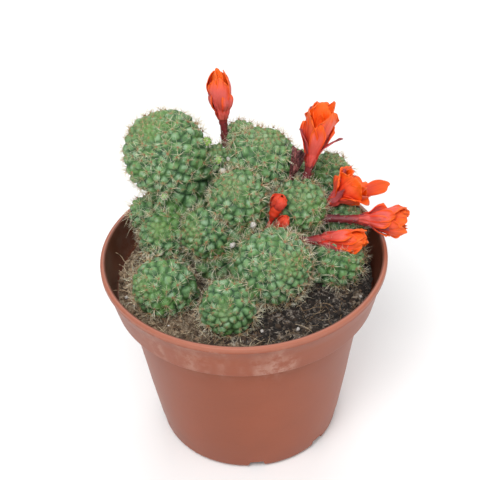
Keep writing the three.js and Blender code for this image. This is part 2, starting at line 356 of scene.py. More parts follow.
def spine_horn():
    """Thin bristly spines: pale straw, tan towards the tip."""
    make = Finish("spine_horn")
    tone = make.attribute("tone")
    grain = make.noise(3000, 1)
    base = make.ramp(
        tone * 0.8 + grain * 0.2, (0.1, from_srgb(138, 92, 60)), (0.36, from_srgb(186, 158, 116)),
        (0.6, from_srgb(238, 232, 206)), (0.95, from_srgb(176, 154, 116)),
    )
    return make.finished(Base_Color=base, Roughness=0.55, Subsurface_Weight=0.1, Subsurface_Scale=0.0003)


def petal(name, throat, blade, edge, stripe):
    """Silky petal: coloured from throat to tip, with fine veins, a stripe down the middle, painted shade
    in the troughs of its folds and a painted highlight on their crests.
    """
    make = Finish(name)
    place = make.node("ShaderNodeTexCoord", output="UV")
    across_it = make.axis("X", place)
    along = make.axis("Y", place)
    pink = make.attribute("tone")
    fold = make.attribute("fold")
    off_centre = (across_it - 0.5).math("ABSOLUTE") * 2
    veins = make.noise(34, 3, where=place, stretch=(1.0, 0.05, 1.0))
    mottle = make.noise(9, 4, where=place)
    base = make.ramp(along + (mottle - 0.5) * 0.3, (0.05, throat), (0.4, blade), (0.95, edge))
    middle = (1 - off_centre.step(0.5, 1.0)) * (1 - along.step(0.65, 1.0)) * pink
    base = make.mix(middle + (mottle - 0.5) * 0.3 * pink, base, stripe)
    dark = tinted(blade, 0.55)
    base = make.mix(veins.step(0.5, 0.72) * 0.3, base, dark)
    # Painted shade in the troughs of the folds.
    base = make.mix(fold.step(0.5, 0.1) * 0.5, base, dark)
    # The orange edge and tip are the petal's own colour, shown only on the folds' crests as a painted
    # highlight.
    rim = off_centre.step(0.82, 1.0) * 0.35 + along.step(0.92, 1.0) * 0.4
    base = make.mix(rim * fold.step(0.3, 0.7), base, edge)
    relief = veins + off_centre * 0.2
    return make.finished(
        Base_Color=base, Roughness=0.38 + mottle * 0.15, Normal=make.bump(relief, 0.0003, 0.9),
        Subsurface_Weight=0.08, Subsurface_Scale=0.0008, Subsurface_Radius=(1.0, 0.3, 0.1),
    )


def tube_skin():
    """The flower tube's maroon skin, redder towards the petals."""
    make = Finish("tube_skin")
    along = make.attribute("tone")
    fine = make.noise(1700, 3)
    streak = make.noise(500, 3, stretch=(1.0, 1.0, 0.3))
    base = make.ramp(
        along + (fine - 0.5) * 0.2, (0.0, from_srgb(84, 24, 32)), (0.5, from_srgb(122, 34, 42)),
        (1.0, from_srgb(190, 58, 50)),
    )
    base = make.mix(streak.step(0.5, 0.7) * 0.25, base, from_srgb(160, 78, 80))
    return make.finished(
        Base_Color=base, Roughness=0.5, Normal=make.bump(fine + streak, 0.00015),
        Subsurface_Weight=0.15, Subsurface_Scale=0.001,
    )


def wool():
    """White crinkled wool."""
    make = Finish("areole_wool")
    tone = make.attribute("tone")
    base = make.ramp(tone, (0.0, from_srgb(190, 172, 160)), (1.0, from_srgb(238, 230, 222)))
    return make.finished(Base_Color=base, Roughness=0.9)


def withered_skin():
    """The dried flower's dark skin, with streaks of painted pinkish highlight along its folds."""
    make = Finish("withered_skin")
    folds = make.noise(420, 4, stretch=(1.0, 1.0, 0.35))
    fine = make.noise(2200, 3)
    base = make.ramp(
        folds * 0.7 + fine * 0.3, (0.36, from_srgb(30, 12, 14)), (0.5, from_srgb(78, 28, 30)),
        (0.64, from_srgb(170, 104, 100)),
    )
    return make.finished(Base_Color=base, Roughness=0.7, Normal=make.bump(folds, 0.0006))


def pale_floor(colour):
    """Matt paper, barely mottled."""
    make = Finish("studio_floor")
    paper = make.noise(35, 2)
    base = make.mix(paper.step(0.3, 0.7) * 0.3, colour, tinted(colour, 0.98))
    return make.finished(Base_Color=base, Roughness=0.9)


# ---- Mesh helpers -----------------------------------------------------------------------


def set_tone(mesh, name, values):
    """Stores one number per vertex for a material to read."""
    layer = mesh.attributes.new(name, "FLOAT", "POINT")
    layer.data.foreach_set("value", np.asarray(values, np.float32))


def points_of(mesh):
    """A mesh's vertices as rows of x, y and z."""
    flat = np.empty(len(mesh.vertices) * 3)
    mesh.vertices.foreach_get("co", flat)
    return flat.reshape(-1, 3)


def move_points(mesh, points):
    mesh.vertices.foreach_set("co", np.asarray(points, float).ravel())
    mesh.update()


def mesh_from(shape, name):
    """A mesh from a bmesh, with its faces pointing outwards."""
    mesh = bpy.data.meshes.new(name)
    bmesh.ops.recalc_face_normals(shape, faces=shape.faces)
    shape.to_mesh(mesh)
    shape.free()
    return mesh


def add_piece(name, mesh, material, replaces=(), smooth=True):
    """Puts a finished mesh in the scene as a named piece on the pot's body."""
    piece = bpy.data.objects.new(name, mesh)
    bpy.context.scene.collection.objects.link(piece)
    mesh.materials.append(material)
    if smooth:
        mesh.polygons.foreach_set("use_smooth", [True] * len(mesh.polygons))
    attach(piece, BODY)
    if replaces:
        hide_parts(*replaces)
    return piece


def spun(profile, steps):
    """A closed round shape from a profile of (radius, height) that starts and ends on the axis."""
    shape = bmesh.new()
    points = [shape.verts.new((radius, 0.0, height)) for radius, height in profile]
    edges = [shape.edges.new(pair) for pair in zip(points, points[1:])]
    bmesh.ops.spin(
        shape, geom=points + edges, cent=(0, 0, 0), axis=(0, 0, 1),
        angle=math.tau, steps=steps, use_merge=True,
    )
    bmesh.ops.remove_doubles(shape, verts=shape.verts, dist=1e-7)
    return shape


def arc(centre, radius, start, end, count):
    """Points (radius, height) along an arc, angles in degrees."""
    turns = [math.radians(start + (end - start) * i / count) for i in range(count + 1)]
    return [(centre[0] + radius * math.cos(t), centre[1] + radius * math.sin(t)) for t in turns]


def gather(templates, places, name):
    """Joins a copy of a template mesh for every place; a place is (template number, matrix).

    Returns the mesh and, for each of its vertices, the number of the place it belongs to.
    """
    shape = bmesh.new()
    owner = []
    for number, (which, matrix) in enumerate(places):
        copy = templates[which].copy()
        copy.transform(matrix)
        shape.from_mesh(copy)
        owner.extend([number] * len(copy.vertices))
        bpy.data.meshes.remove(copy)
    mesh = bpy.data.meshes.new(name)
    shape.to_mesh(mesh)
    shape.free()
    return mesh, np.array(owner, int)


def scattered(name, templates, places, tones, material, smooth=True):
    """A piece made of many copies of its templates, each with its own tone."""
    mesh, owner = gather(templates, places, name)
    set_tone(mesh, "tone", np.asarray(tones, float)[owner])
    add_piece(name, mesh, material, smooth=smooth)


def grow_along(shape, path, radii, sides):
    """Adds a closed tube that follows a path, with a radius for each of the path's points."""
    made = bmesh.ops.create_circle(shape, cap_ends=True, segments=sides, radius=1.0)
    ring = made["verts"]
    face = ring[0].link_faces[0]
    turn = Vector((0, 0, 1)).rotation_difference(path[1] - path[0]).to_matrix().to_4x4()
    start = Matrix.Translation(path[0]) @ turn @ Matrix.Scale(radii[0], 4)
    bmesh.ops.transform(shape, matrix=start, verts=ring)
    for i in range(1, len(path)):
        made = bmesh.ops.extrude_face_region(shape, geom=[face])
        face = next(item for item in made["geom"] if isinstance(item, bmesh.types.BMFace))
        ring = list(face.verts)
        grown = Matrix.Scale(radii[i] / radii[i - 1], 4)
        bmesh.ops.translate(shape, verts=ring, vec=-path[i - 1])
        bmesh.ops.transform(shape, matrix=grown, verts=ring)
        bmesh.ops.translate(shape, verts=ring, vec=path[i])


def across(direction):
    """Two unit vectors that complete a right-handed frame whose third axis is `direction`."""
    side = Vector((0, 0, 1)).cross(direction)
    if side.length < 1e-4:
        side = Vector((1, 0, 0))
    side.normalize()
    return side, direction.cross(side).normalized()


def basis_of(first, second, third):
    """The turn that carries the X, Y and Z axes onto three directions."""
    return Matrix((first, second, third)).transposed().to_4x4()


def aimed(turn, lift):
    """A direction from its turn about +Z and its lift above the ground."""
    flat = math.cos(lift)
    return Vector((math.cos(turn) * flat, math.sin(turn) * flat, math.sin(lift)))


def spin_and_tip(dice, tip):
    """A random turn about +Z after a random tip of at most `tip`."""
    spin = Matrix.Rotation(dice.uniform(0, math.tau), 4, "Z")
    return spin @ Matrix.Rotation(dice.uniform(0, tip), 4, "X")


def ball(name, around, rings):
    """A ball of radius 1 as a mesh, and its points."""
    shape = bmesh.new()
    bmesh.ops.create_uvsphere(shape, u_segments=around, v_segments=rings, radius=1.0)
    mesh = mesh_from(shape, name)
    return mesh, points_of(mesh)


def from_pole(unit):
    """How far each point of a ball is from its lower pole, 0 to 1, and its turn round it."""
    share = np.arccos(np.clip(-unit[:, 2], -1, 1)) / math.pi
    return share, np.arctan2(unit[:, 1], unit[:, 0])


def smooth_step(values):
    """Rises smoothly from 0 at 0 to 1 at 1, and is level outside."""
    values = np.clip(values, 0, 1)
    return values * values * (3 - 2 * values)


# ---- Pot --------------------------------------------------------------------------------


class PotSettings(bpy.types.PropertyGroup):
    collar_height: FloatProperty(
        name="Collar height", description="Height of the wide band below the rim",
        default=16.3 * MM, unit="LENGTH")
    collar_foot: FloatProperty(
        name="Collar foot radius", description="Outside radius at the lower edge of the collar",
        default=48.5 * MM, unit="LENGTH")
    shoulder: FloatProperty(
        name="Shoulder radius", description="Outside radius of the body just below the collar",
        default=44.2 * MM, unit="LENGTH")
    wall: FloatProperty(
        name="Wall", description="Thickness of the moulded wall", default=1.2 * MM, unit="LENGTH")
    slots: IntProperty(name="Drain slots", description="Slots around the foot of the pot", default=8)
    slot_width: FloatProperty(
        name="Slot width", description="Width of a drain slot at its ceiling",
        default=5 * MM, unit="LENGTH")
    slot_height: FloatProperty(
        name="Slot height", description="Height of a drain slot", default=3.8 * MM, unit="LENGTH")
    colour: FloatVectorProperty(
        name="Plastic", description="Colour of the plastic", subtype="COLOR",
        default=from_srgb(142, 75, 50))


def pot_profile(pot):
    """The pot's wall as one closed outline, from the underside's centre round to the floor's centre."""
    top = POT_HEIGHT
    shoulder_height = top - pot.collar_height
    outside = [(0, 0), (20 * MM, 0), (30.6 * MM, 0)]
    outside += arc((31.4 * MM, 3.0 * MM), 3.0 * MM, -85, -12, 8)
    outside += [
        (35.0 * MM, 6 * MM), (35.7 * MM, 9 * MM), (37.2 * MM, 18 * MM),
        (38.7 * MM, 27 * MM), (40.0 * MM, 36 * MM), (42.1 * MM, 49 * MM),
    ]
    outside += [(pot.shoulder, shoulder_height - 1.2 * MM)]
    outside += arc((pot.shoulder + 0.5 * MM, shoulder_height - 0.9 * MM), 0.5 * MM, 180, 90, 3)
    outside += arc((pot.collar_foot - 0.7 * MM, shoulder_height + 0.4 * MM), 0.7 * MM, -90, 0, 4)
    outside += [
        (pot.collar_foot + 0.9 * MM, shoulder_height + 4 * MM),
        (pot.collar_foot + 1.9 * MM, shoulder_height + 8.5 * MM),
        (RIM_RADIUS - 0.95 * MM, top - 3.1 * MM),
    ]
    outside += arc((RIM_RADIUS - 0.85 * MM, top - 1.9 * MM), 0.85 * MM, -70, 0, 5)
    outside += arc((RIM_RADIUS - 0.75 * MM, top - 0.75 * MM), 0.75 * MM, 0, 90, 6)
    inside = arc((RIM_RADIUS - 1.35 * MM, top - 0.6 * MM), 0.6 * MM, 90, 180, 5)
    inside += [
        (RIM_RADIUS - 2.05 * MM, top - 2.0 * MM),
        (pot.collar_foot + 0.8 * MM, shoulder_height + 8.5 * MM),
        (pot.collar_foot - pot.wall, shoulder_height + 2.2 * MM),
        (pot.shoulder - pot.wall, shoulder_height + 0.8 * MM),
        (40.0 * MM - pot.wall, 36 * MM), (37.2 * MM - pot.wall, 18 * MM),
        (34.4 * MM - pot.wall, 5 * MM), (31.5 * MM - pot.wall, POT_FLOOR), (0, POT_FLOOR),
    ]
    return outside + inside


def drain_cutters(pot):
    """The bars that cut the drain slots, with sloping ends, as one mesh object."""
    shape = bmesh.new()
    start, end = 29 * MM, 37 * MM
    for i in range(pot.slots):
        turn = Matrix.Rotation(math.radians(-87.5) + math.tau * i / pot.slots, 4, "Z")
        made = bmesh.ops.create_cube(shape, size=1.0)
        for vertex in made["verts"]:
            high = vertex.co.z > 0
            width = pot.slot_width + (0 if high else 3 * MM)
            vertex.co = Vector((
                start if vertex.co.x < 0 else end,
                math.copysign(width / 2, vertex.co.y),
                pot.slot_height if high else -1 * MM,
            ))
            vertex.co = turn @ vertex.co
    cutter = bpy.data.objects.new("drain_cutter", mesh_from(shape, "drain_cutter"))
    bpy.context.scene.collection.objects.link(cutter)
    return cutter


def applied(piece):
    """Makes an object's modifiers part of its mesh."""
    evaluated = piece.evaluated_get(bpy.context.evaluated_depsgraph_get())
    mesh = bpy.data.meshes.new_from_object(evaluated)
    bpy.data.objects.remove(piece)
    return mesh


class CACTUS_OT_pot(bpy.types.Operator):
    """Make the thin plastic pot with its rolled lip, collar and drain slots"""

    bl_idname = "cactus.make_pot"
    bl_label = "Pot"

    def execute(self, context):
        pot = context.scene.cactus_pot
        blank = bpy.data.objects.new("pot_blank", mesh_from(spun(pot_profile(pot), 160), "pot"))
        context.scene.collection.objects.link(blank)
        cutter = drain_cutters(pot)
        cut = blank.modifiers.new("Drain slots", "BOOLEAN")
        cut.object = cutter
        cut.operation = "DIFFERENCE"
        cut.solver = "EXACT"
        mesh = applied(blank)
        bpy.data.objects.remove(cutter)
        mesh.materials.clear()
        piece = add_piece("nursery_pot", mesh, pot_plastic(tuple(pot.colour)), ["pot"])
        mark_sharp(piece.data, 38)
        return {"FINISHED"}


def mark_sharp(mesh, degrees):
    """Keeps edges crisp where two faces meet at more than this angle."""
    shape = bmesh.new()
    shape.from_mesh(mesh)
    limit = math.radians(degrees)
    for edge in shape.edges:
        edge.smooth = not (len(edge.link_faces) == 2 and edge.calc_face_angle(0) > limit)
    shape.to_mesh(mesh)
    shape.free()


# ---- Stems ------------------------------------------------------------------------------


class StemSettings(bpy.types.PropertyGroup):
    spacing: FloatProperty(
        name="Areole spacing", description="Distance between areoles on a grown stem",
        default=4.7 * MM, unit="LENGTH")
    relief: FloatProperty(
        name="Tubercle height", description="Height of a tubercle as a share of its width", default=0.38)
    spine_length: FloatProperty(
        name="Spine length", description="Length of a middling spine",
        default=3.9 * MM, unit="LENGTH")
    spine_width: FloatProperty(
        name="Spine width", description="Width of a spine at its base",
        default=0.12 * MM, unit="LENGTH")
    spines: IntProperty(name="Spines", description="Spines in one areole", default=12)
    straying: FloatProperty(
        name="Straying", default=0.17,
        description="How far an areole strays from its spiral, as a share of the spacing")
    skin: FloatVectorProperty(
        name="Skin", description="Mean colour of the green skin", subtype="COLOR",
        default=from_srgb(76, 116, 68))


# Which way each stem's growing tip looks. The heads lean outwards from the middle of the clump.
TIP_LEAN = {
    "stem_tall_left": (-0.41, -0.19, 0.89),
    "stem_back": (0.18, -0.16, 0.97),
    "stem_back_small": (0.1, 0.2, 0.97),
    "stem_centre": (-0.22, -0.48, 0.85),
    "stem_centre_left": (-0.6, -0.6, 0.5),
    "stem_centre_right": (0.15, -0.55, 0.8),
    "stem_back_right": (0.35, 0.1, 0.93),
    "stem_back_hidden": (0.2, 0.4, 0.9),
    "stem_right_front": (0.75, -0.4, 0.5),
    "stem_right_low": (0.5, -0.1, 0.85),
    "stem_front_large": (0.38, -0.72, 0.55),
    "stem_front_left": (-0.75, -0.5, 0.42),
    "stem_front_small": (-0.15, -0.85, 0.5),
    "stem_left_low": (-0.25, -0.6, 0.75),
    "stem_left_back_low": (-0.7, 0.1, 0.7),
    "stem_between": (0.1, -0.1, 0.99),
}

# Stems that differ from the rest: the shares of the usual areole spacing and spine length.
STEM_GRAIN = {
    "stem_tall_left": (1.0, 0.95),
    "stem_between": (0.85, 0.8),
    "stem_back_small": (0.85, 0.8),
}


class Club:
    """One stem's smooth form: a round head on a neck that bends down into the soil.

    A place on the skin is given by `down`, the distance from the tip along the skin, and `turn`,
    the angle round the stem.
    """

    def __init__(self, node, lean):
        points = points_of(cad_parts[node].data)
        self.fit_head(points)
        low = points[points[:, 2] < points[:, 2].min() + 4 * MM]
        self.foot = low.mean(0)
        ring = np.linalg.norm(low[:, :2] - self.foot[:2], axis=1)
        self.neck = float(np.percentile(ring, 90))
        self.tip = np.array(Vector(lean).normalized())
        self.lay_centreline()
        self.cap = self.radius * math.pi / 2
        self.reach = self.cap + self.length

    def fit_head(self, points):
        """The head is a ball: the one that its own upper points lie on."""
        spread = (points[:, :2].max(0) - points[:, :2].min(0)).min() / 2
        top = points[points[:, 2] > points[:, 2].max() - spread * 0.9]
        rows = np.column_stack([2 * top, np.ones(len(top))])
        x, y, z, rest = np.linalg.lstsq(rows, (top ** 2).sum(1), rcond=None)[0]
        self.centre = np.array([x, y, z])
        self.radius = math.sqrt(rest + x * x + y * y + z * z)

    def lay_centreline(self):
        """A curve from the head's centre, along the tip's own line at first, down to the foot."""
        length = np.linalg.norm(self.centre - self.foot)
        pull = 0.42 * length
        controls = [
            self.centre, self.centre - self.tip * pull,
            self.foot + np.array([0, 0, pull]), self.foot,
        ]
        t = np.linspace(0, 1, 60)[:, None]
        weights = [(1 - t) ** 3, 3 * t * (1 - t) ** 2, 3 * t * t * (1 - t), t ** 3]
        self.line = sum(w * c for w, c in zip(weights, controls))
        steps = np.linalg.norm(np.diff(self.line, axis=0), axis=1)
        self.along = np.concatenate([[0], np.cumsum(steps)])
        self.length = self.along[-1]
        heading = -np.gradient(self.line, axis=0)
        self.heading = heading / np.linalg.norm(heading, axis=1)[:, None]
        side = np.array(across(Vector(self.tip))[0])
        sides = []
        for direction in self.heading:
            side = side - direction * side.dot(direction)
            side = side / np.linalg.norm(side)
            sides.append(side)
        self.side = np.array(sides)

    def width(self, below):
        """Radius of the stem at a distance below the head's centre."""
        shrink = smooth_step(below / (1.15 * self.radius))
        radius = self.radius + (self.neck - self.radius) * shrink
        end = np.clip((below - self.length + 2.5 * MM) / (2.5 * MM), 0, 1)
        return radius * np.sqrt(np.clip(1 - end ** 2, 0, 1))

    def place(self, down, turn):
        """Points on the skin and the outward directions there."""
        below = np.clip(down - self.cap, 0, self.length)
        tilt = np.clip(down / self.radius, 0, math.pi / 2)
        centre, up, side = (
            np.column_stack([np.interp(below, self.along, rows[:, k]) for k in range(3)])
            for rows in (self.line, self.heading, self.side)
        )
        third = np.cross(up, side)
        out = np.cos(turn)[:, None] * side + np.sin(turn)[:, None] * third
        on_cap = down < self.cap
        radius = np.where(on_cap, self.radius * np.sin(tilt), self.width(below))
        rise = np.where(on_cap, self.radius * np.cos(tilt), 0.0)
        points = centre + out * radius[:, None] + up * rise[:, None]
        slope = np.where(on_cap, np.cos(tilt), 0.0)
        normal = out * np.where(on_cap, np.sin(tilt), 1.0)[:, None] + up * slope[:, None]
        return points, normal / np.linalg.norm(normal, axis=1)[:, None]

    def holds(self, points, margin):
        """Which points lie inside this stem, or within `margin` of its skin."""
        near = np.linalg.norm(points - self.centre, axis=1) < self.radius + margin
        gaps = np.linalg.norm(points[:, None] - self.line[None, ::3], axis=2)
        return near | (gaps < self.width(self.along[::3])[None] + margin).any(1)


def areole_places(club, spacing, straying, dice):
    """Places of the areoles in spirals from the tip down, evenly spread over the skin."""
    down = np.linspace(0, club.reach, 500)
    on_cap = club.radius * np.sin(down / club.radius)
    radius = np.where(down < club.cap, on_cap, club.width(down - club.cap))
    area_of_one = 0.87 * local_spacing(club, down, spacing) ** 2
    density = math.tau * radius / area_of_one
    count = np.concatenate([[0], np.cumsum((density[1:] + density[:-1]) / 2 * np.diff(down))])
    numbers = np.arange(0.6, count[-1], 1.0)
    places = np.interp(numbers, count, down)
    stray = np.array([(dice.uniform(-1, 1), dice.uniform(-1, 1)) for _ in numbers])
    stray = stray * straying * spacing
    ring = np.maximum(np.interp(places, down, radius), spacing)
    return np.maximum(places + stray[:, 0], 0.2 * MM), numbers * GOLDEN_ANGLE + stray[:, 1] / ring


def local_spacing(club, down, spacing):
    """Tubercles are small at the growing tip and widest low on the stem."""
    young = smooth_step(down / (0.95 * club.radius))
    old = smooth_step((down - 1.2 * club.radius) / (1.6 * club.radius))
    size = 0.86 + 0.5 * (club.radius / (14.9 * MM)) * old
    return spacing * (0.55 + 0.45 * young) * size


def spine_cluster(settings, dice):
    """The spines of one areole around the +Z axis: thin bristles, most of them lying low."""
    shape = bmesh.new()
    centrals = max(2, settings.spines // 5)
    for i in range(settings.spines):
        central = i < centrals
        lift = math.radians(dice.uniform(48, 84) if central else dice.uniform(10, 42))
        turn = math.tau * i / settings.spines + dice.uniform(-0.3, 0.3)
        if central:
            turn = dice.uniform(0, math.tau)
        length = settings.spine_length * dice.uniform(0.5, 1.35)
        aim = aimed(turn, lift)
        sway = Vector([dice.uniform(-0.16, 0.16) for _ in range(3)])
        path = [aim * 0.1 * MM, aim * length * 0.55 + sway * length, aim * length]
        width = settings.spine_width * (1.15 if central else 0.9) / 2
        grow_along(shape, path, [width, width * 0.8, width * 0.12], 3)
    return mesh_from(shape, "spine_cluster")


def felt_pad(dice):
    """The small woolly cushion that the spines grow from."""
    shape = bmesh.new()
    bmesh.ops.create_icosphere(shape, subdivisions=1, radius=0.52 * MM)
    bmesh.ops.scale(shape, vec=(1, 0.8, 0.55), verts=shape.verts)
    for vertex in shape.verts:
        vertex.co *= dice.uniform(0.85, 1.2)
    return mesh_from(shape, "felt_pad")


def frames_at(club, down, turn):
    """A matrix for each place on the skin: +Z out of the skin, +X towards the foot."""
    points, normals = club.place(down, turn)
    below, _ = club.place(down + 0.3 * MM, turn)
    frames = []
    for point, normal, next_point in zip(points, normals, below):
        out = Vector(normal)
        forward = Vector(next_point - point)
        forward = (forward - out * forward.dot(out)).normalized()
        frames.append((Vector(point), basis_of(forward, out.cross(forward), out)))
    return frames


def skin_mesh(club, name, spacing, relief, down, turn):
    """The skin of one stem, swollen into a tubercle around every areole."""
    around = int(min(170, max(84, math.tau * club.radius / (0.5 * MM))))
    rings = int(min(150, max(70, club.reach / (0.42 * MM))))
    mesh, unit = ball(name, around, rings)
    depth = np.arccos(np.clip(unit[:, 2], -1, 1)) / math.pi * club.reach
    angle = np.arctan2(unit[:, 1], unit[:, 0])
    points, normals = club.place(depth, angle)
    centres, _ = club.place(down, turn)
    # Squared distances from every point to every areole, and each point's two nearest.
    gaps = (points ** 2).sum(1)[:, None] + (centres ** 2).sum(1)[None] - 2 * points @ centres.T
    nearest = gaps.argmin(axis=1)
    two = np.sqrt(np.clip(np.partition(gaps, 1, axis=1)[:, :2], 0, None))
    share = two[:, 0] / np.maximum(two[:, 1], 1e-6)
    dice = random.Random(name)
    plump = np.array([dice.uniform(0.72, 1.1) for _ in down])[nearest]
    ridge = 0.5 + 0.5 * np.array([noise.noise(Vector(p) * 130) for p in points])
    slack = (1 - plump) * smooth_step(1 - share ** 4)
    swell = smooth_step(1 - share ** (1.2 + 0.8 * ridge)) * (1 - slack)
    height = relief * local_spacing(club, depth, spacing)
    fade = 1 - smooth_step((depth - club.reach + 5 * MM) / (4 * MM))
    waver = np.array([
        0.4 * noise.noise(Vector(p) * 260) + 0.8 * noise.noise(Vector(p) * 75) for p in points])
    lift = swell * height * fade - height * 0.55 + MM * waver
    points = points + normals * lift[:, None]
    move_points(mesh, points)
    set_tone(mesh, "relief", swell)
    set_tone(mesh, "age", depth / club.reach)
    return mesh


def build_stem(node, clubs, settings, skin, templates):
    """One stem as three pieces: its skin, its felt pads and its spines."""
    club = clubs[node]
    dice = random.Random(node)
    grain, shortness = STEM_GRAIN.get(node, (1.0, 1.0))
    spacing = settings.spacing * grain
    down, turn = areole_places(club, spacing, settings.straying, dice)
    mesh = skin_mesh(club, node, spacing, settings.relief, down, turn)
    add_piece(f"{node}_skin", mesh, skin, [node])

    points, normals = club.place(down, turn)
    tips = points + normals * 0.8 * MM
    buried = tips[:, 2] < SOIL_LEVEL - 0.5 * MM
    for other, neighbour in clubs.items():
        if other != node:
            buried |= neighbour.holds(tips, 0.1 * MM)
    shown = [i for i in range(len(down)) if not buried[i]]
    frames = frames_at(club, down[shown], turn[shown])
    rise = settings.relief * local_spacing(club, down[shown], spacing) * 0.42
    pads, bristles, ages = [], [], []
    for i, (point, basis) in enumerate(frames):
        spot = Matrix.Translation(point + basis.col[2].to_3d() * rise[i])
        young = 1 - float(smooth_step(down[shown[i]] / (0.8 * club.radius)))
        spin = Matrix.Rotation(dice.uniform(0, math.tau), 4, "Z")
        size = (0.5 + 0.5 * (1 - young)) * dice.choice((0.45, 0.8, 0.95, 1.1))
        bristle_size = Matrix.Scale(size * shortness, 4)
        bristles.append((dice.randrange(len(templates["spines"])), spot @ basis @ spin @ bristle_size))
        pad_size = Matrix.Scale(size * grain, 4)
        pads.append((dice.randrange(len(templates["pads"])), spot @ basis @ pad_size))
        ages.append((1 - young) * dice.uniform(0.4, 1.0))
    scattered(f"{node}_areoles", templates["pads"], pads, ages, templates["felt"])
    mesh, owner = gather(templates["spines"], bristles, f"{node}_spines")
    bases = np.array([matrix.translation for _, matrix in bristles])
    from_base = np.linalg.norm(points_of(mesh) - bases[owner], axis=1)
    tone = np.clip(from_base / settings.spine_length, 0, 1) * 0.7
    set_tone(mesh, "tone", tone + np.array(ages)[owner] * 0.25)
    add_piece(f"{node}_spines", mesh, templates["horn"], smooth=False)


class CACTUS_OT_stems(bpy.types.Operator):
    """Make every stem: tubercled skin, woolly areoles and spines"""

    bl_idname = "cactus.make_stems"
    bl_label = "Stems"

    def execute(self, context):
        settings = context.scene.cactus_stems
        dice = random.Random("spines")
        clubs = {node: Club(node, lean) for node, lean in TIP_LEAN.items()}
        templates = {
            "spines": [spine_cluster(settings, dice) for _ in range(8)],
            "pads": [felt_pad(dice) for _ in range(4)],
            "felt": areole_felt(),
            "horn": spine_horn(),
        }
        skin = cactus_skin("stem_skin", tuple(settings.skin))
        for node in TIP_LEAN:
            build_stem(node, clubs, settings, skin, templates)
        return {"FINISHED"}


def ball_points(count):
    """Evenly spread directions on a ball, in a spiral."""
    heights = 1 - 2 * (np.arange(count) + 0.5) / count
    turns = np.arange(count) * GOLDEN_ANGLE
    flat = np.sqrt(1 - heights ** 2)
    return np.column_stack([flat * np.cos(turns), flat * np.sin(turns), heights])


def build_offset(node, materials, pad, tuft, woolly):
    """A pea-sized young stem: a ball of a few fat tubercles, each with a tuft of wool."""
    low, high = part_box(node)
    centre, radius = np.array((low + high) / 2), max(high - low) / 2
    mesh, unit = ball(node, 48, 32)
    spots = ball_points(22)
    nearest = np.sort(np.arccos(np.clip(unit @ spots.T, -1, 1)), axis=1)
    swell = np.clip(1 - (nearest[:, 0] / nearest[:, 1]) ** 2, 0, 1)
    move_points(mesh, centre + unit * radius * (0.86 + 0.2 * swell)[:, None])
    set_tone(mesh, "relief", 0.3 + 0.6 * swell)
    set_tone(mesh, "age", np.full(len(unit), 0.3))
    add_piece(f"{node}_ball", mesh, materials["skin"], [node])
    pads, tufts = [], []
    for spot in spots:
        out = Vector(spot)
        place = Matrix.Translation(Vector(centre + spot * radius * 1.03)) @ basis_of(*across(out), out)
        pads.append((0, place @ Matrix.Scale(0.45, 4)))
        tufts.append((0, place @ Matrix.Scale((0.9 if woolly else 0.55) * MM, 4)))
    young, white = [0.15] * len(spots), [0.7] * len(spots)
    scattered(f"{node}_areoles", [pad], pads, young, materials["felt"])
    scattered(f"{node}_wool", [tuft], tufts, white, materials["wool"], smooth=False)


class CACTUS_OT_offsets(bpy.types.Operator):
    """Make the very young offsets that sit between the stems"""

    bl_idname = "cactus.make_offsets"
    bl_label = "Offsets"

    def execute(self, context):
        dice = random.Random("offsets")
        materials = {
            "skin": cactus_skin("offset_skin", from_srgb(120, 160, 74)),
            "felt": areole_felt(),
            "wool": wool(),
        }
        for node in ("offset_centre", "offset_tall_left", "offset_low_left"):
            woolly = node == "offset_tall_left"
            build_offset(node, materials, felt_pad(dice), hair_tuft(dice), woolly)
        return {"FINISHED"}


# ---- Soil -------------------------------------------------------------------------------


class SoilSettings(bpy.types.PropertyGroup):
    crumbs: IntProperty(name="Crumbs", description="Loose lumps of peat and bark", default=3400)
    loose_straws: IntProperty(
        name="Loose straws", default=22,
        description="Long straws that stand up from the soil at the left")
    fibres: IntProperty(name="Fibres", description="Loose strands of coir", default=950)
    grains: IntProperty(name="Perlite", description="Pale grains of perlite", default=34)
    tilt: FloatProperty(
        name="Tilt", description="How much higher the soil stands at the right-hand wall",
        default=2 * MM, unit="LENGTH")


# Grains that have lodged between two heads.
LODGED_GRAINS = (
    ("stem_centre_left", "stem_front_large"),
    ("stem_centre", "stem_front_large"),
    ("stem_between", "stem_back"),
    ("stem_between", "stem_centre"),
    ("stem_tall_left", "stem_between"),
)


def soil_height(x, y, tilt):
    """Height of the soil's uneven surface at a place."""
    spot = Vector((x, y, 0))
    lumps = noise.fractal(spot * 170, 0.62, 2.1, 5) * 1.6 * MM
    mound = noise.noise(spot * 40) * 1.1 * MM
    return SOIL_LEVEL + tilt * x / RIM_RADIUS + lumps + mound


def soil_mesh(tilt):
    """The bed of soil, which fills the pot and stands a little lower along the wall."""
    brim = SOIL_BRIM
    bottom = SOIL_BOX[0].z
    profile = [(brim * i / 54, SOIL_LEVEL) for i in range(55)]
    profile += [
        (brim, 65 * MM), (43.0 * MM, 63.6 * MM), (38.4 * MM, 36 * MM), (35.6 * MM, 18 * MM),
        (33.0 * MM, 5 * MM), (30.6 * MM, bottom), (0, bottom),
    ]
    shape = spun(profile, 170)
    for vertex in shape.verts:
        if vertex.co.z > SOIL_LEVEL - 0.01 * MM:
            vertex.co.z = soil_height(vertex.co.x, vertex.co.y, tilt)
            edge = vertex.co.xy.length / brim
            vertex.co.z -= 1.2 * MM * max(0, edge - 0.93) / 0.07
    return mesh_from(shape, "soil_bed")


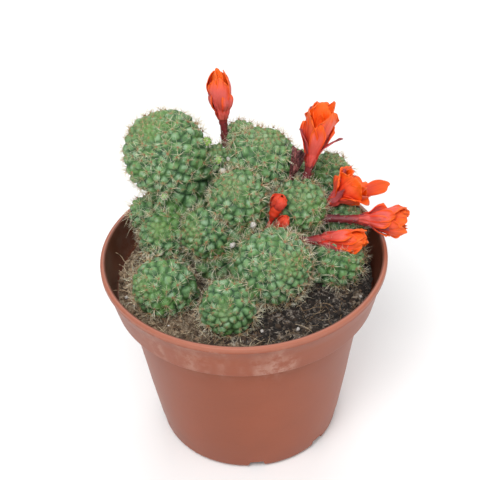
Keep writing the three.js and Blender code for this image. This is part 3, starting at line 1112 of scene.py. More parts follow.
def lump(dice, roundness):
    """A rough crumb: a flattened ball whose points are drawn in at random."""
    shape = bmesh.new()
    bmesh.ops.create_icosphere(shape, subdivisions=1, radius=1.0)
    for vertex in shape.verts:
        vertex.co *= dice.uniform(roundness, 1.0)
    bmesh.ops.scale(shape, vec=(1, dice.uniform(0.6, 1), dice.uniform(0.45, 0.8)), verts=shape.verts)
    return mesh_from(shape, "lump")


def strand(dice):
    """A thin crooked fibre about one unit long."""
    shape = bmesh.new()
    heading = Vector((1, 0, dice.uniform(0, 0.3)))
    path = [Vector((0, 0, 0))]
    for _ in range(6):
        swerve = Vector((0, dice.uniform(-0.5, 0.5), dice.uniform(-0.4, 0.35)))
        heading = (heading + swerve).normalized()
        path.append(path[-1] + heading / 6)
    grow_along(shape, path, [0.014] * 7, 3)
    return mesh_from(shape, "strand")


def perlite_grain(dice):
    """An angular, pitted grain."""
    shape = bmesh.new()
    bmesh.ops.create_icosphere(shape, subdivisions=2, radius=1.0)
    shift = Vector([dice.uniform(0, 50) for _ in range(3)])
    for vertex in shape.verts:
        vertex.co *= 0.85 + 0.5 * noise.noise(vertex.co * 1.9 + shift)
    bmesh.ops.scale(shape, vec=(1, dice.uniform(0.65, 0.9), dice.uniform(0.6, 0.9)), verts=shape.verts)
    return mesh_from(shape, "grain")


def coir_share(x):
    """How much of the soil is coir: most at the left wall, little at the right front."""
    return max(0.0, min(1.0, 0.35 - x / (45 * MM)))


def groove(first, second, towards):
    """The point between two round heads where something small can lodge, on the viewer's side."""
    gap = second.centre - first.centre
    length = np.linalg.norm(gap)
    way = gap / length
    share = (length ** 2 + first.radius ** 2 - second.radius ** 2) / (2 * length)
    middle = first.centre + way * share
    side = towards - way * towards.dot(way)
    reach = math.sqrt(max(first.radius ** 2 - share ** 2, (0.25 * first.radius) ** 2))
    return middle + side / np.linalg.norm(side) * (reach + 1.0 * MM)


def free_spots(count, dice, clubs, limit, inner=0.0):
    """Random places on the soil that no stem stands on."""
    spots = []
    while len(spots) < count:
        radius = limit * math.sqrt(dice.uniform(inner ** 2, 1))
        angle = dice.uniform(0, math.tau)
        x, y = radius * math.cos(angle), radius * math.sin(angle)
        taken = any(math.hypot(x - c.foot[0], y - c.foot[1]) < c.neck * 0.85 for c in clubs)
        if not taken:
            spots.append((x, y))
    return spots


class CACTUS_OT_soil(bpy.types.Operator):
    """Make the soil: the bed, loose crumbs, coir fibres and perlite grains"""

    bl_idname = "cactus.make_soil"
    bl_label = "Soil"

    def execute(self, context):
        settings = context.scene.cactus_soil
        dice = random.Random("soil")
        clubs = {node: Club(node, lean) for node, lean in TIP_LEAN.items()}
        add_piece("soil_bed", soil_mesh(settings.tilt), soil_peat(), ["soil"])
        scatter_crumbs(settings, clubs.values(), dice)
        scatter_fibres(settings, clubs.values(), dice)
        scatter_perlite(settings, clubs, dice)
        return {"FINISHED"}


def scatter_crumbs(settings, clubs, dice):
    """Loose crumbs, many small and few large, paler where there is more coir."""
    lumps = [lump(dice, 0.45) for _ in range(6)]
    places, tones = [], []
    for x, y in free_spots(settings.crumbs, dice, clubs, SOIL_BRIM - 0.5 * MM):
        size = 0.28 * MM + 1.5 * MM * dice.random() ** 3.2
        turn = spin_and_tip(dice, 1)
        spot = Matrix.Translation((x, y, soil_height(x, y, settings.tilt) + 0.15 * size))
        places.append((dice.randrange(6), spot @ turn @ Matrix.Scale(size, 4)))
        bright = dice.random() ** 1.5 * (1 - 0.6 * min(1, size / (1.3 * MM)))
        tones.append(min(1, bright + coir_share(x) * 0.55))
    scattered("soil_crumbs", lumps, places, tones, crumb(), smooth=False)


def scatter_fibres(settings, clubs, dice):
    """Strands that lie on the soil, turned inwards at the wall, and straws that stand at the left."""
    strands = [strand(dice) for _ in range(8)]
    places, tones = [], []
    for x, y in free_spots(settings.fibres, dice, clubs, SOIL_BRIM - 1.5 * MM, 0.35):
        length = dice.uniform(2.5, 9) * MM
        if dice.random() > 0.5 + coir_share(x):
            continue
        turn = Matrix.Rotation(dice.uniform(0, math.tau), 4, "Z")
        spot = Matrix.Translation((x, y, soil_height(x, y, settings.tilt) + 0.2 * MM))
        end = turn @ Vector((length, 0, 0))
        if math.hypot(x + end.x, y + end.y) > SOIL_BRIM - 0.5 * MM:
            turn = Matrix.Rotation(math.pi, 4, "Z") @ turn
        places.append((dice.randrange(8), spot @ turn @ Matrix.Scale(length, 4)))
        tones.append(dice.random())
    for _ in range(settings.loose_straws):
        bearing, reach = math.radians(dice.uniform(165, 215)), dice.uniform(38, 44) * MM
        x, y = reach * math.cos(bearing), reach * math.sin(bearing)
        turn = Matrix.Rotation(dice.uniform(0.3, 2.8), 4, "Z")
        turn = turn @ Matrix.Rotation(-dice.uniform(0.2, 0.8), 4, "Y")
        spot = Matrix.Translation((x, y, soil_height(x, y, settings.tilt)))
        places.append((dice.randrange(8), spot @ turn @ Matrix.Scale(dice.uniform(6, 11) * MM, 4)))
        tones.append(dice.uniform(0.6, 1.0))
    scattered("soil_fibres", strands, places, tones, coir_fibre())


def scatter_perlite(settings, heads, dice):
    """Pale grains on the soil, and larger ones lodged between the heads."""
    grains = [perlite_grain(dice) for _ in range(4)]
    free = free_spots(settings.grains, dice, heads.values(), SOIL_BRIM - 2 * MM)
    spots = [(x, y, soil_height(x, y, settings.tilt)) for x, y in free]
    spots += [tuple(groove(heads[one], heads[other], VIEWER_WAY)) for one, other in LODGED_GRAINS]
    places = []
    for i, (x, y, z) in enumerate(spots):
        size = dice.uniform(0.4, 1.0) * MM if i < settings.grains else 1.45 * MM
        turn = spin_and_tip(dice, 3)
        spot = Matrix.Translation((x, y, z + 0.3 * size))
        places.append((dice.randrange(4), spot @ turn @ Matrix.Scale(size, 4)))
    mesh, _ = gather(grains, places, "soil_perlite")
    add_piece("soil_perlite", mesh, perlite())


# ---- Flowers ----------------------------------------------------------------------------


class FlowerSettings(bpy.types.PropertyGroup):
    petal_thickness: FloatProperty(
        name="Petal thickness", description="Thickness of a petal",
        default=0.22 * MM, unit="LENGTH")
    scales: IntProperty(name="Scales", description="Small scales along one flower tube", default=15)
    orange: FloatVectorProperty(
        name="Orange", description="Colour of the petals' lit edges", subtype="COLOR",
        default=from_srgb(255, 104, 10))
    scarlet: FloatVectorProperty(
        name="Scarlet", description="Colour of the petals' blades", subtype="COLOR",
        default=from_srgb(238, 44, 10))
    salmon: FloatVectorProperty(
        name="Salmon", description="Colour of the outer petals' middle stripe", subtype="COLOR",
        default=from_srgb(222, 92, 82))


# How each flower holds its petals. Lengths are in millimetres and the rest are shares.
# pink: colour of the outside; curl: how far the tips turn out, or in below 0; wave: waviness;
# width: a petal's width against the flower's girth; sepals: how many lie outside the petals;
# funnel: narrowing towards the tube; overlap: how far the petals' feet reach down the tube;
# slim: girth of the whole flower; straight: 1 for the sides of a cone; reach: petal length;
# roll: how far the edges turn out. Buds, bracts and paddles also use crease: depth of the folds,
# flatness: 1 for a petal as round as its flower; and twist: turn of the blade in radians.
FLOWER_HABIT = {
    "flower_back": {
        "pink": 1.0, "curl": -0.1, "wave": 0.3, "width": 1.0, "sepals": 3, "reach": 0.95, "roll": 0.0,
        "funnel": 0.1},
    "flower_tall": {
        "pink": 0.5, "curl": 0.2, "wave": 0.7, "width": 1.1, "sepals": 3, "slim": 0.88, "funnel": 0.3,
        "straight": 0.35},
    "flower_open": {
        "pink": 0.3, "curl": 0.35, "wave": 0.9, "width": 1.1, "sepals": 3, "overlap": 2.4, "funnel": 0.3,
        "straight": 0.7},
    "flower_long": {
        "pink": 0.7, "curl": 0.1, "wave": 0.5, "width": 1.0, "sepals": 4, "funnel": 0.25},
    "flower_low": {
        "pink": 0.5, "curl": 0.0, "wave": 0.5, "width": 1.05, "sepals": 3, "overlap": 1.4, "slim": 0.88,
        "funnel": 0.15},
}

# Narrow pointed bracts: where each leaves the flower (share of its length), the turn round it in
# degrees, its length in millimetres and how far its tip leans out.
BRACTS = {
    "flower_back": [(0.45, 200, 8, 1.2), (0.42, 330, 7, 1.0)],
    "flower_tall": [(0.36, 195, 10, 3.6), (0.36, 350, 10, 5.4), (0.62, 175, 9, 1.4)],
    "flower_open": [(0.26, 185, 13, 3.6), (0.3, 150, 11, 2.6), (0.28, 250, 8, 3.0)],
    "flower_long": [(0.5, 90, 9, 2.6), (0.5, 250, 7, 1.2)],
    "flower_low": [(0.42, 110, 8, 1.6), (0.42, 280, 7, 1.0)],
}

# A petal folded right out of its flower: its turn in degrees, its length, how far it flares
# and half its width, in mm.
PADDLES = {"flower_open": (4, 19.5, 5.5, 3.4)}


class Bloom:
    """The line of one flower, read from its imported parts: its foot, its direction, its length."""

    def __init__(self, tube_points, head_points):
        axis = head_points.mean(0) - tube_points.mean(0)
        self.axis = axis / np.linalg.norm(axis)
        self.middle = head_points.mean(0)
        side = Vector((1, 0, 0)) - Vector(self.axis) * self.axis[0]
        if side.length < 0.3:
            side = Vector((0, 0, 1)) - Vector(self.axis) * self.axis[2]
        self.side = np.array(side.normalized())
        self.third = np.cross(self.axis, self.side)
        self.foot = self.middle + self.axis * ((tube_points - self.middle) @ self.axis).min()
        self.length = ((head_points - self.foot) @ self.axis).max()
        along, radius, _ = self.measure(tube_points)
        self.tube_end = along.max()
        self.stalk = float(np.percentile(radius[along < 0.5 * self.tube_end], 80))
        self.throat = float(radius[along > self.tube_end - 1 * MM].max())

    def measure(self, points):
        """Distance along the flower, distance from its line and turn round it, of each point."""
        away = points - self.foot
        aside, beyond = away @ self.side, away @ self.third
        return away @ self.axis, np.hypot(aside, beyond), np.arctan2(beyond, aside)

    def place(self, along, radius, turn):
        out = np.cos(turn)[:, None] * self.side + np.sin(turn)[:, None] * self.third
        return self.foot + self.axis * along[:, None] + out * radius[:, None]

    def tube_girth(self, along):
        """Radius of the tube: a little thicker at its foot, flaring into the throat."""
        flare = smooth_step((along - 0.55 * self.tube_end) / (0.5 * self.tube_end))
        foot = 1.12 - 0.2 * smooth_step(along / (0.4 * self.tube_end))
        return self.stalk * foot + (self.throat - self.stalk) * flare

    def habit_of(self, node):
        """Start, end, turn and girth curve of one packed petal."""
        along, radius, turn = self.measure(points_of(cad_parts[node].data))
        share = (along - along.min()) / (along.max() - along.min())
        girth = np.polyfit(share, radius, 2)
        heading = math.atan2((np.sin(turn) * radius).sum(), (np.cos(turn) * radius).sum())
        return along.min(), along.max(), heading, girth


def cad_points(*nodes):
    """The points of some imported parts, all in one list."""
    return np.concatenate([points_of(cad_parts[node].data) for node in nodes])


def petal_blade(bloom, start, end, turn, girth, half_width, layer, habit, dice, pointed=False):
    """One petal as a curved sheet: narrow at its foot, broad above, wrapped round the flower.

    It runs from `start` to `end` along the flower, at the radius that the curve `girth` gives plus
    `layer`, and its foot lies on the tube, the habit's `overlap` below `start`. On the flat sheet
    `a` runs across from -1 to 1 and `t` along from 0 at the foot to 1 at the tip.
    """
    shape = bmesh.new()
    shape.loops.layers.uv.new("UVMap")
    bmesh.ops.create_grid(shape, x_segments=16, y_segments=30, size=1.0, calc_uvs=True)
    mesh = bpy.data.meshes.new("petal")
    shape.to_mesh(mesh)
    shape.free()
    flat = points_of(mesh)
    a, t = flat[:, 0], (flat[:, 1] + 1) / 2
    overlap = habit.get("overlap", 0.0) * MM
    # The outline.
    if pointed:
        width = half_width * (0.45 + 0.55 * smooth_step(t / 0.3))
        width = width * (1 - smooth_step((t - 0.4) / 0.66))
        rounding = 0.0
    else:
        tip = np.clip((t - 0.66) / 0.34, 0, 1)
        width = half_width * (0.3 + 0.7 * smooth_step(t / 0.62)) * np.sqrt(1 - 0.66 * tip ** 2.6)
        rounding = min(0.17, 0.5 * half_width / (end - start)) * a ** 2 * t ** 5
    # Slow waves and sharp lengthwise creases, different on every petal.
    seed = Vector((dice.uniform(0, 90), dice.uniform(0, 90), 0))
    wave = np.array([noise.noise(seed + Vector((p * 1.6, q * 3.2, 0))) for p, q in zip(a, t)])
    crease = np.array([noise.noise(seed + Vector((p * 5.5, q * 1.0, 7))) for p, q in zip(a, t)])
    along = start - overlap + (t - rounding) * (end - start + overlap) + 0.6 * MM * wave * t
    # Its distance from the flower's line.
    share = np.clip((along - start) / (end - start), 0, 1.1)
    cone = bloom.throat + (np.polyval(girth, 1.0) - bloom.throat) * share
    straight = habit.get("straight", 0.0)
    radius = (np.polyval(girth, share) * (1 - straight) + cone * straight) * habit.get("slim", 1.0)
    radius *= 1 - habit.get("funnel", 0.0) * (1 - smooth_step(share / 0.6))
    if overlap:
        on_tube = bloom.tube_girth(np.minimum(along, bloom.tube_end)) + 0.12 * MM
        blend = smooth_step((along - start + 0.5 * overlap) / (1.5 * overlap))
        radius = on_tube * (1 - blend) + np.maximum(radius, on_tube * (1 - share)) * blend
    radius += (layer + 0.32 * MM * a) * smooth_step(t / 0.25)
    radius += habit["wave"] * MM * wave * (0.25 + 1.7 * t * t) * smooth_step(t / 0.3)
    depth = habit.get("crease", 1.0) * MM
    radius += (0.34 * crease - 0.22 * (1 - np.abs(a)) ** 2) * depth * smooth_step(t / 0.3)
    radius += habit["curl"] * MM * smooth_step((t - 0.72) / 0.28) * 1.6
    radius += habit.get("roll", 0.5) * MM * a ** 4 * t ** 2
    radius = np.maximum(radius, 0.25 * MM)
    # Its own bend across, rounder at the foot than at the tip, and its turn about its middle.
    flatness = habit.get("flatness", 1.0) + 1.5 * smooth_step((t - 0.55) / 0.45) * (not pointed)
    bend = np.maximum(radius * flatness, 1.5 * MM)
    swing = np.clip(a * width / bend, -1.9, 1.9)
    out = (radius - bend) + bend * np.cos(swing)
    aside = bend * np.sin(swing)
    centre = bloom.place(along, out, np.full(len(a), turn))
    across_way = -math.sin(turn) * bloom.side + math.cos(turn) * bloom.third
    outward = math.cos(turn) * bloom.side + math.sin(turn) * bloom.third
    upright = outward * 0.8 - bloom.axis * 0.6
    twist = (habit.get("twist", 0.0) * smooth_step((t - 0.35) / 0.45))[:, None]
    broadside = across_way * np.cos(twist) + upright * np.sin(twist)
    move_points(mesh, centre + broadside * aside[:, None])
    # The fold tone records the creases; the petal finish paints shade in their troughs and a highlight
    # on their crests.
    set_tone(mesh, "fold", 0.5 + crease * 0.6 + wave * 0.35)
    return mesh


def joined(meshes, name, tones):
    """One mesh from several, each with its own tone; the originals are removed."""
    shape = bmesh.new()
    values = []
    for mesh, tone in zip(meshes, tones):
        shape.from_mesh(mesh)
        values.extend([tone] * len(mesh.vertices))
        bpy.data.meshes.remove(mesh)
    mesh = bpy.data.meshes.new(name)
    shape.to_mesh(mesh)
    shape.free()
    set_tone(mesh, "tone", values)
    return mesh


def sheet_piece(name, sheets, tones, material, thickness, replaces=()):
    """A piece made of thin sheets, given their thickness by a modifier."""
    piece = add_piece(name, joined(sheets, name, tones), material, replaces)
    solid = piece.modifiers.new("Thickness", "SOLIDIFY")
    solid.thickness = thickness
    solid.offset = 0.0


def scale_leaf():
    """A tiny pointed scale that lies along +X, one unit long."""
    shape = bmesh.new()
    bmesh.ops.create_icosphere(shape, subdivisions=2, radius=0.5)
    for vertex in shape.verts:
        taper = 1 - 0.75 * max(0, vertex.co.x * 2) ** 1.5
        vertex.co.y *= 0.55 * taper
        vertex.co.z = vertex.co.z * 0.28 * taper + 0.35 * (vertex.co.x + 0.5) ** 2
    bmesh.ops.translate(shape, verts=shape.verts, vec=(0.4, 0, 0))
    return mesh_from(shape, "scale_leaf")


def hair_tuft(dice):
    """A few short crinkled white hairs around +Z, about one unit long."""
    shape = bmesh.new()
    for _ in range(11):
        aim = aimed(dice.uniform(0, math.tau), dice.uniform(0.1, 1.3))
        sway = Vector([dice.uniform(-0.3, 0.3) for _ in range(3)])
        grow_along(shape, [aim * 0.02, aim * 0.5 + sway, aim + sway * 0.5], [0.05, 0.045, 0.015], 3)
    return mesh_from(shape, "hair_tuft")


def tube_parts(bloom, flower, settings, materials, leaves, tufts, dice):
    """The flower's tube with its scales and the wool in their corners."""
    end = bloom.tube_end
    mesh, unit = ball(f"{flower}_tube", 28, 56)
    share, turn = from_pole(unit)
    far = share * (end + 1.2 * MM) - 0.6 * MM
    girth = bloom.tube_girth(np.clip(far, 0, end)) * np.sqrt(np.clip(1 - (2 * share - 1) ** 24, 0, 1))
    ribs = 0.05 * np.sin(turn * 7) * smooth_step(far / end) + 0.03 * np.sin(turn * 3 + far * 900)
    move_points(mesh, bloom.place(far, girth * (1 + ribs), turn))
    set_tone(mesh, "tone", np.clip(far / end, 0, 1) ** 1.5)
    add_piece(f"{flower}_stalk", mesh, materials["tube"], [f"{flower}_tube"])

    leaf_places, wool_places, tones = [], [], []
    for i in range(settings.scales):
        spot_share = (i + 0.4) / settings.scales * 0.95
        spot_turn = i * GOLDEN_ANGLE
        at = spot_share * end
        reach = float(bloom.tube_girth(at))
        point = Vector(bloom.place(np.array([at]), np.array([reach]), np.array([spot_turn]))[0])
        out = (point - Vector(bloom.foot + bloom.axis * at)).normalized()
        axis = Vector(bloom.axis)
        spot = Matrix.Translation(point) @ basis_of(axis, out.cross(axis), out)
        size = dice.uniform(1.3, 2.0) * MM * (0.75 + 0.5 * spot_share)
        leaf_places.append((dice.randrange(len(leaves)), spot @ Matrix.Scale(size, 4)))
        tones.append(dice.random() * 0.6)
        if spot_share < 0.75:
            fluff = dice.uniform(0.5, 1.0) * MM * (1.25 - spot_share)
            wool_places.append((dice.randrange(len(tufts)), spot @ Matrix.Scale(fluff, 4)))
    scattered(f"{flower}_scales", leaves, leaf_places, tones, materials["tube"])
    whiteness = np.arange(len(wool_places)) % 5 / 5
    scattered(f"{flower}_wool", tufts, wool_places, whiteness, materials["wool"],
              smooth=False)


def build_flower(flower, settings, materials, leaves, tufts):
    """One flower: its tube, its petals, the sepals outside them, the heart and the bracts."""
    habit = FLOWER_HABIT[flower]
    dice = random.Random(flower)
    inner = [f"{flower}_petal_inner_{i}" for i in (1, 2, 3)]
    outer = [f"{flower}_petal_outer_{i}" for i in (1, 2, 3)]
    bloom = Bloom(cad_points(f"{flower}_tube"), cad_points(*inner))
    bloom.throat *= 1 - 0.8 * habit["funnel"]
    tube_parts(bloom, flower, settings, materials, leaves, tufts, dice)
    thickness = settings.petal_thickness

    rooted = {"overlap": 3.0, **habit}
    for node in outer + inner:
        start, end, turn, girth = bloom.habit_of(node)
        is_outer = node in outer
        waist = float(np.polyval(girth, 0.55))
        half = waist * habit["width"] * dice.uniform(0.92, 1.1)
        if not is_outer:
            half *= 1.12
        reach = (end - start) * habit.get("reach", 1.0) * dice.uniform(0.9, 1.02)
        layer = 0.0 if is_outer else -0.35 * MM
        blade = petal_blade(bloom, start, start + reach, turn, girth, half, layer, rooted, dice)
        tone = habit["pink"] * dice.uniform(0.5, 1.3) if is_outer else 0.1
        side = "outer" if is_outer else "inner"
        sheet_piece(f"{node}_blade", [blade], [min(1.0, tone)], materials[side],
                    thickness, [node])

    sepals, tones = [], []
    start, end, turn, girth = bloom.habit_of(outer[1])
    for i in range(habit["sepals"]):
        reach = (end - start) * dice.uniform(0.5, 0.78)
        heading = turn + math.pi / 3 + i * math.tau / 3 + dice.uniform(-0.3, 0.3)
        half = float(np.polyval(girth, 0.4)) * dice.uniform(0.5, 0.66)
        sepals.append(petal_blade(bloom, start, start + reach, heading, girth, half,
                                  0.42 * MM, {**rooted, "curl": 0.2}, dice))
        tones.append(min(1.0, habit["pink"] + 0.3))
    if flower in PADDLES:
        degrees, length, flare, half = PADDLES[flower]
        curve = np.polyfit([0, 0.5, 1], [bloom.throat, bloom.throat + 0.27 * flare * MM,
                                         bloom.throat + flare * MM], 2)
        folded = {**rooted, "wave": 0.4, "flatness": 1.6, "twist": 1.25}
        sepals.append(petal_blade(bloom, start, start + length * MM, math.radians(degrees), curve,
                                  half * MM, 0.3 * MM, folded, dice))
        tones.append(0.3)
    sheet_piece(f"{flower}_sepals", sepals, tones, materials["outer"], thickness)

    hearts = []
    start, end, turn, girth = bloom.habit_of(inner[0])
    core = np.polyfit([0, 0.5, 1], [
        0.8 * MM, np.polyval(girth, 0.5) * 0.66, np.polyval(girth, 1) * 0.55], 2)
    for i in range(5):
        reach = (end - start) * habit.get("reach", 1.0) * dice.uniform(0.8, 1.0)
        half = float(np.polyval(core, 0.5)) * 1.25
        hearts.append(petal_blade(bloom, start, start + reach, turn + i * math.tau / 5 + 0.4, core,
                                  half, 0.1 * MM, habit, dice))
    sheet_piece(f"{flower}_heart", hearts, [0.05] * 5, materials["inner"], thickness)

    bracts = []
    for share, degrees, length, lean in BRACTS[flower]:
        at = share * bloom.length
        begin = float(bloom.tube_girth(min(at, bloom.tube_end)))
        curve = np.polyfit([0, 0.5, 1], [begin, begin + 0.45 * lean * MM, begin + 1.25 * lean * MM], 2)
        rise = math.sqrt(max(length ** 2 - lean ** 2, 4)) * MM
        calm = {"wave": 0.3, "curl": 0.0}
        bracts.append(petal_blade(bloom, at, at + rise, math.radians(degrees), curve,
                                  1.7 * MM, 0.35 * MM, calm, dice, pointed=True))
    sheet_piece(f"{flower}_bracts", bracts, [0.8] * len(bracts), materials["bract"],
                2 * thickness)


def petal_materials(settings):
    """The finishes that all open flowers share."""
    orange, scarlet, salmon = map(tuple, (settings.orange, settings.scarlet, settings.salmon))
    throat = from_srgb(156, 40, 44)
    return {
        "outer": petal("petal_outer", throat, scarlet, orange, salmon),
        "inner": petal("petal_inner", from_srgb(214, 46, 20), scarlet, orange, from_srgb(244, 60, 20)),
        "bract": petal("flower_bract", from_srgb(178, 62, 66), from_srgb(212, 74, 70),
                       from_srgb(168, 80, 84), from_srgb(176, 84, 90)),
        "tube": tube_skin(),
        "wool": wool(),
    }


class CACTUS_OT_flowers(bpy.types.Operator):
    """Make every open flower: tube, scales, wool, petals and bracts"""

    bl_idname = "cactus.make_flowers"
    bl_label = "Flowers"

    def execute(self, context):
        settings = context.scene.cactus_flowers
        materials = petal_materials(settings)
        dice = random.Random("flower parts")
        leaves = [scale_leaf() for _ in range(3)]
        tufts = [hair_tuft(dice) for _ in range(4)]
        for flower in FLOWER_HABIT:
            build_flower(flower, settings, materials, leaves, tufts)
        return {"FINISHED"}


def upward_bloom(node):
    """The line of a bud or a withered flower, from the stem end to the tip."""
    points = cad_points(node)
    middle = points.mean(0)
    _, _, ways = np.linalg.svd(points - middle)
    axis = ways[0] * (1 if ways[0][2] > 0 else -1)
    along = (points - middle) @ axis
    return Bloom(points[along < np.percentile(along, 40)], points[along > np.percentile(along, 60)])


class CACTUS_OT_buds(bpy.types.Operator):
    """Make the closed buds and the withered flower"""

    bl_idname = "cactus.make_buds"
    bl_label = "Buds"

    def execute(self, context):
        settings = context.scene.cactus_flowers
        bud_skin = petal("bud_petal", from_srgb(84, 20, 26), from_srgb(176, 34, 22),
                         from_srgb(238, 74, 34), from_srgb(214, 70, 50))
        closed = {"wave": 0.05, "curl": 0.0, "crease": 0.12, "roll": 0.0}
        for node, petals in (("bud_large", 7), ("bud_small", 6)):
            make_bud(node, petals, closed, bud_skin, settings)
        make_withered("flower_withered", withered_skin())
        return {"FINISHED"}


def make_bud(node, petals, habit, material, settings):
    """A closed bud: a solid core with petals wrapped tightly over it."""
    dice = random.Random(node)
    bloom = upward_bloom(node)
    along, radius, _ = bloom.measure(cad_points(node))
    belly = float(radius.max())
    shape = bmesh.new()
    bmesh.ops.create_uvsphere(shape, u_segments=28, v_segments=40, radius=1.0)
    uv_layer = shape.loops.layers.uv.new("UVMap")
    for face in shape.faces:
        for loop in face.loops:
            spot = loop.vert.co
            height = max(-1, min(1, spot.z))
            loop[uv_layer].uv = (
                math.atan2(spot.y, spot.x) / math.tau + 0.5, math.asin(height) / math.pi + 0.5)
    mesh = mesh_from(shape, node)
    unit = points_of(mesh)
    share, turn = from_pole(unit)
    grid = np.linspace(0, 1, 24)
    bins = [radius[np.abs(along / bloom.length - g) < 0.06] for g in grid]
    girth = np.array([b.max() if len(b) else 0.3 * belly for b in bins])
    girth = np.interp(share, grid, girth) * np.sqrt(np.clip(1 - (2 * share - 1) ** 10, 0, 1))
    move_points(mesh, bloom.place(share * bloom.length * 0.95, girth * 0.78, turn))
    set_tone(mesh, "tone", np.zeros(len(unit)))
    set_tone(mesh, "fold", np.full(len(unit), 0.5))
    add_piece(f"{node}_core", mesh, material, [node])

    blades, tones = [], []
    body = along / bloom.length
    start = float(body[radius > 0.55 * belly].min())
    for i in range(petals):
        inner_row = i >= petals // 2
        low = bloom.length * (start + 0.02 * (i % 3))
        high = bloom.length * (1 - 0.015 * (i % 3))
        curve = np.polyfit([0, 0.3, 0.6, 0.85, 1], [
            belly * 0.5, belly * 0.84, belly * 0.88, belly * 0.62, belly * 0.1], 4)
        blades.append(petal_blade(bloom, low, high, i * GOLDEN_ANGLE, curve, belly * 0.95,
                                  (0.02 if inner_row else 0.16) * MM, habit, dice))
        tones.append(dice.random() * 0.6)
    sheet_piece(f"{node}_petals", blades, tones, material, settings.petal_thickness)


def make_withered(node, material):
    """A spent flower: a shrivelled dark tube with crumpled petal ends."""
    dice = random.Random(node)
    bloom = upward_bloom(node)
    _, radius, _ = bloom.measure(cad_points(node))
    belly = float(radius.max())
    mesh, unit = ball(node, 64, 80)
    share, turn = from_pole(unit)
    girth = 0.8 * belly * np.interp(
        share, [0, 0.04, 0.3, 0.45, 0.65, 0.85, 0.96, 1], [0, 0.42, 0.5, 0.8, 1.0, 0.85, 0.5, 0])
    twisted = turn + 2.2 * share
    folds = np.array([
        noise.fractal(Vector((math.cos(w) * 2.2, math.sin(w) * 2.2, s * 4)), 0.7, 2.2, 4)
        for w, s in zip(twisted, share)
    ])
    pleats = np.sin(twisted * 6 + folds * 2) * 0.12
    move_points(mesh, bloom.place(share * bloom.length, girth * (0.9 + 0.28 * folds + pleats), turn))
    add_piece(f"{node}_husk", mesh, material, [node])
    blades = []
    ragged = {"wave": 1.0, "curl": 0.5}
    for i in range(5):
        curve = np.polyfit([0, 0.5, 1], [belly * 0.5, belly * 0.72, belly * dice.uniform(0.3, 0.8)], 2)
        blades.append(petal_blade(bloom, bloom.length * 0.5, bloom.length * dice.uniform(0.92, 1.04),
                                  i * math.tau / 5, curve, belly * 0.55, 0.2 * MM, ragged, dice,
                                  pointed=True))
    sheet_piece(f"{node}_ends", blades, [0] * 5, material, 0.2 * MM)


# ---- Stage ------------------------------------------------------------------------------


class StageSettings(bpy.types.PropertyGroup):
    elevation: FloatProperty(
        name="Camera elevation", description="How far the camera looks down",
        default=math.radians(38), subtype="ANGLE")
    distance: FloatProperty(
        name="Camera distance", description="Distance from the middle of the pot's rim",
        default=0.462, unit="LENGTH")
    roll: FloatProperty(
        name="Camera roll", description="Turn of the camera about its line of sight",
        default=math.radians(-2.56), subtype="ANGLE")
    lens: FloatProperty(name="Lens", description="Focal length in millimetres", default=94.77)
    floor: FloatVectorProperty(
        name="Floor", description="Colour of the studio floor", subtype="COLOR",
        default=(0.9, 0.9, 0.9))


def area_light(name, place, aim, size, power):
    """A square soft light that faces a point."""
    light = bpy.data.lights.new(name, "AREA")
    light.size = size
    light.energy = power
    lamp = bpy.data.objects.new(name, light)
    bpy.context.scene.collection.objects.link(lamp)
    lamp.location = place
    lamp.rotation_euler = (Vector(aim) - Vector(place)).to_track_quat("-Z", "Y").to_euler()


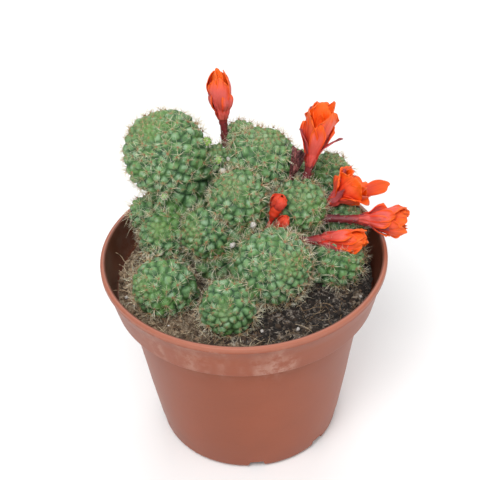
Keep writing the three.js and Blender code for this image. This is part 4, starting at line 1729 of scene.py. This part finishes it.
class CACTUS_OT_stage(bpy.types.Operator):
    """Set up the camera, the pale floor and the soft studio light"""

    bl_idname = "cactus.make_stage"
    bl_label = "Stage"

    def execute(self, context):
        stage = context.scene.cactus_stage
        scene = context.scene
        shape = bmesh.new()
        bmesh.ops.create_grid(shape, x_segments=1, y_segments=1, size=3.0)
        floor = bpy.data.objects.new("studio_floor", mesh_from(shape, "studio_floor"))
        floor.data.materials.append(pale_floor(tuple(stage.floor)))
        scene.collection.objects.link(floor)

        lens = bpy.data.cameras.new("camera")
        lens.lens = stage.lens
        lens.clip_start = 0.01
        camera = bpy.data.objects.new("camera", lens)
        scene.collection.objects.link(camera)
        back = Vector((0, -math.cos(stage.elevation), math.sin(stage.elevation)))
        camera.location = CAMERA_TARGET + back * stage.distance
        tilt = Matrix.Rotation(math.pi / 2 - stage.elevation, 4, "X")
        camera.rotation_euler = (tilt @ Matrix.Rotation(stage.roll, 4, "Z")).to_euler()
        scene.camera = camera

        middle = (0, 0, 0.07)
        area_light("key", (-0.2, -0.55, 0.88), middle, 0.5, 8.0)
        area_light("fill", (0.7, -0.5, 0.5), middle, 0.8, 2.0)
        area_light("back", (0.1, 0.7, 0.8), middle, 0.7, 4.0)
        world = bpy.data.worlds.new("studio")
        world.use_nodes = True
        sky = world.node_tree.nodes["Background"]
        sky.inputs["Color"].default_value = (1, 1, 1, 1)
        sky.inputs["Strength"].default_value = 0.5
        scene.world = world
        scene.view_settings.view_transform = "Standard"
        return {"FINISHED"}


# ---- Panel and start --------------------------------------------------------------------


class CACTUS_PT_panel(bpy.types.Panel):
    """Buttons and dimensions for the cactus"""

    bl_label = "Cactus"
    bl_idname = "CACTUS_PT_panel"
    bl_space_type = "VIEW_3D"
    bl_region_type = "UI"
    bl_category = "Cactus"

    def draw(self, context):
        for operator, group in STEPS:
            self.layout.operator(operator.bl_idname)
            settings = getattr(context.scene, group)
            for name in settings.__annotations__:
                self.layout.prop(settings, name)


STEPS = (
    (CACTUS_OT_pot, "cactus_pot"),
    (CACTUS_OT_soil, "cactus_soil"),
    (CACTUS_OT_stems, "cactus_stems"),
    (CACTUS_OT_offsets, "cactus_stems"),
    (CACTUS_OT_flowers, "cactus_flowers"),
    (CACTUS_OT_buds, "cactus_flowers"),
    (CACTUS_OT_stage, "cactus_stage"),
)
GROUPS = {
    "cactus_pot": PotSettings,
    "cactus_soil": SoilSettings,
    "cactus_stems": StemSettings,
    "cactus_flowers": FlowerSettings,
    "cactus_stage": StageSettings,
}
CLASSES = (*GROUPS.values(), *(step[0] for step in STEPS), CACTUS_PT_panel)


def register():
    for item in CLASSES:
        bpy.utils.register_class(item)
    for name, group in GROUPS.items():
        setattr(bpy.types.Scene, name, PointerProperty(type=group))


def unregister():
    for name in GROUPS:
        delattr(bpy.types.Scene, name)
    for item in reversed(CLASSES):
        bpy.utils.unregister_class(item)


def main():
    """Builds every piece and the stage."""
    register()
    bpy.ops.cactus.make_pot()
    bpy.ops.cactus.make_soil()
    bpy.ops.cactus.make_stems()
    bpy.ops.cactus.make_offsets()
    bpy.ops.cactus.make_flowers()
    bpy.ops.cactus.make_buds()
    bpy.ops.cactus.make_stage()


if __name__ == "__main__":
    main()
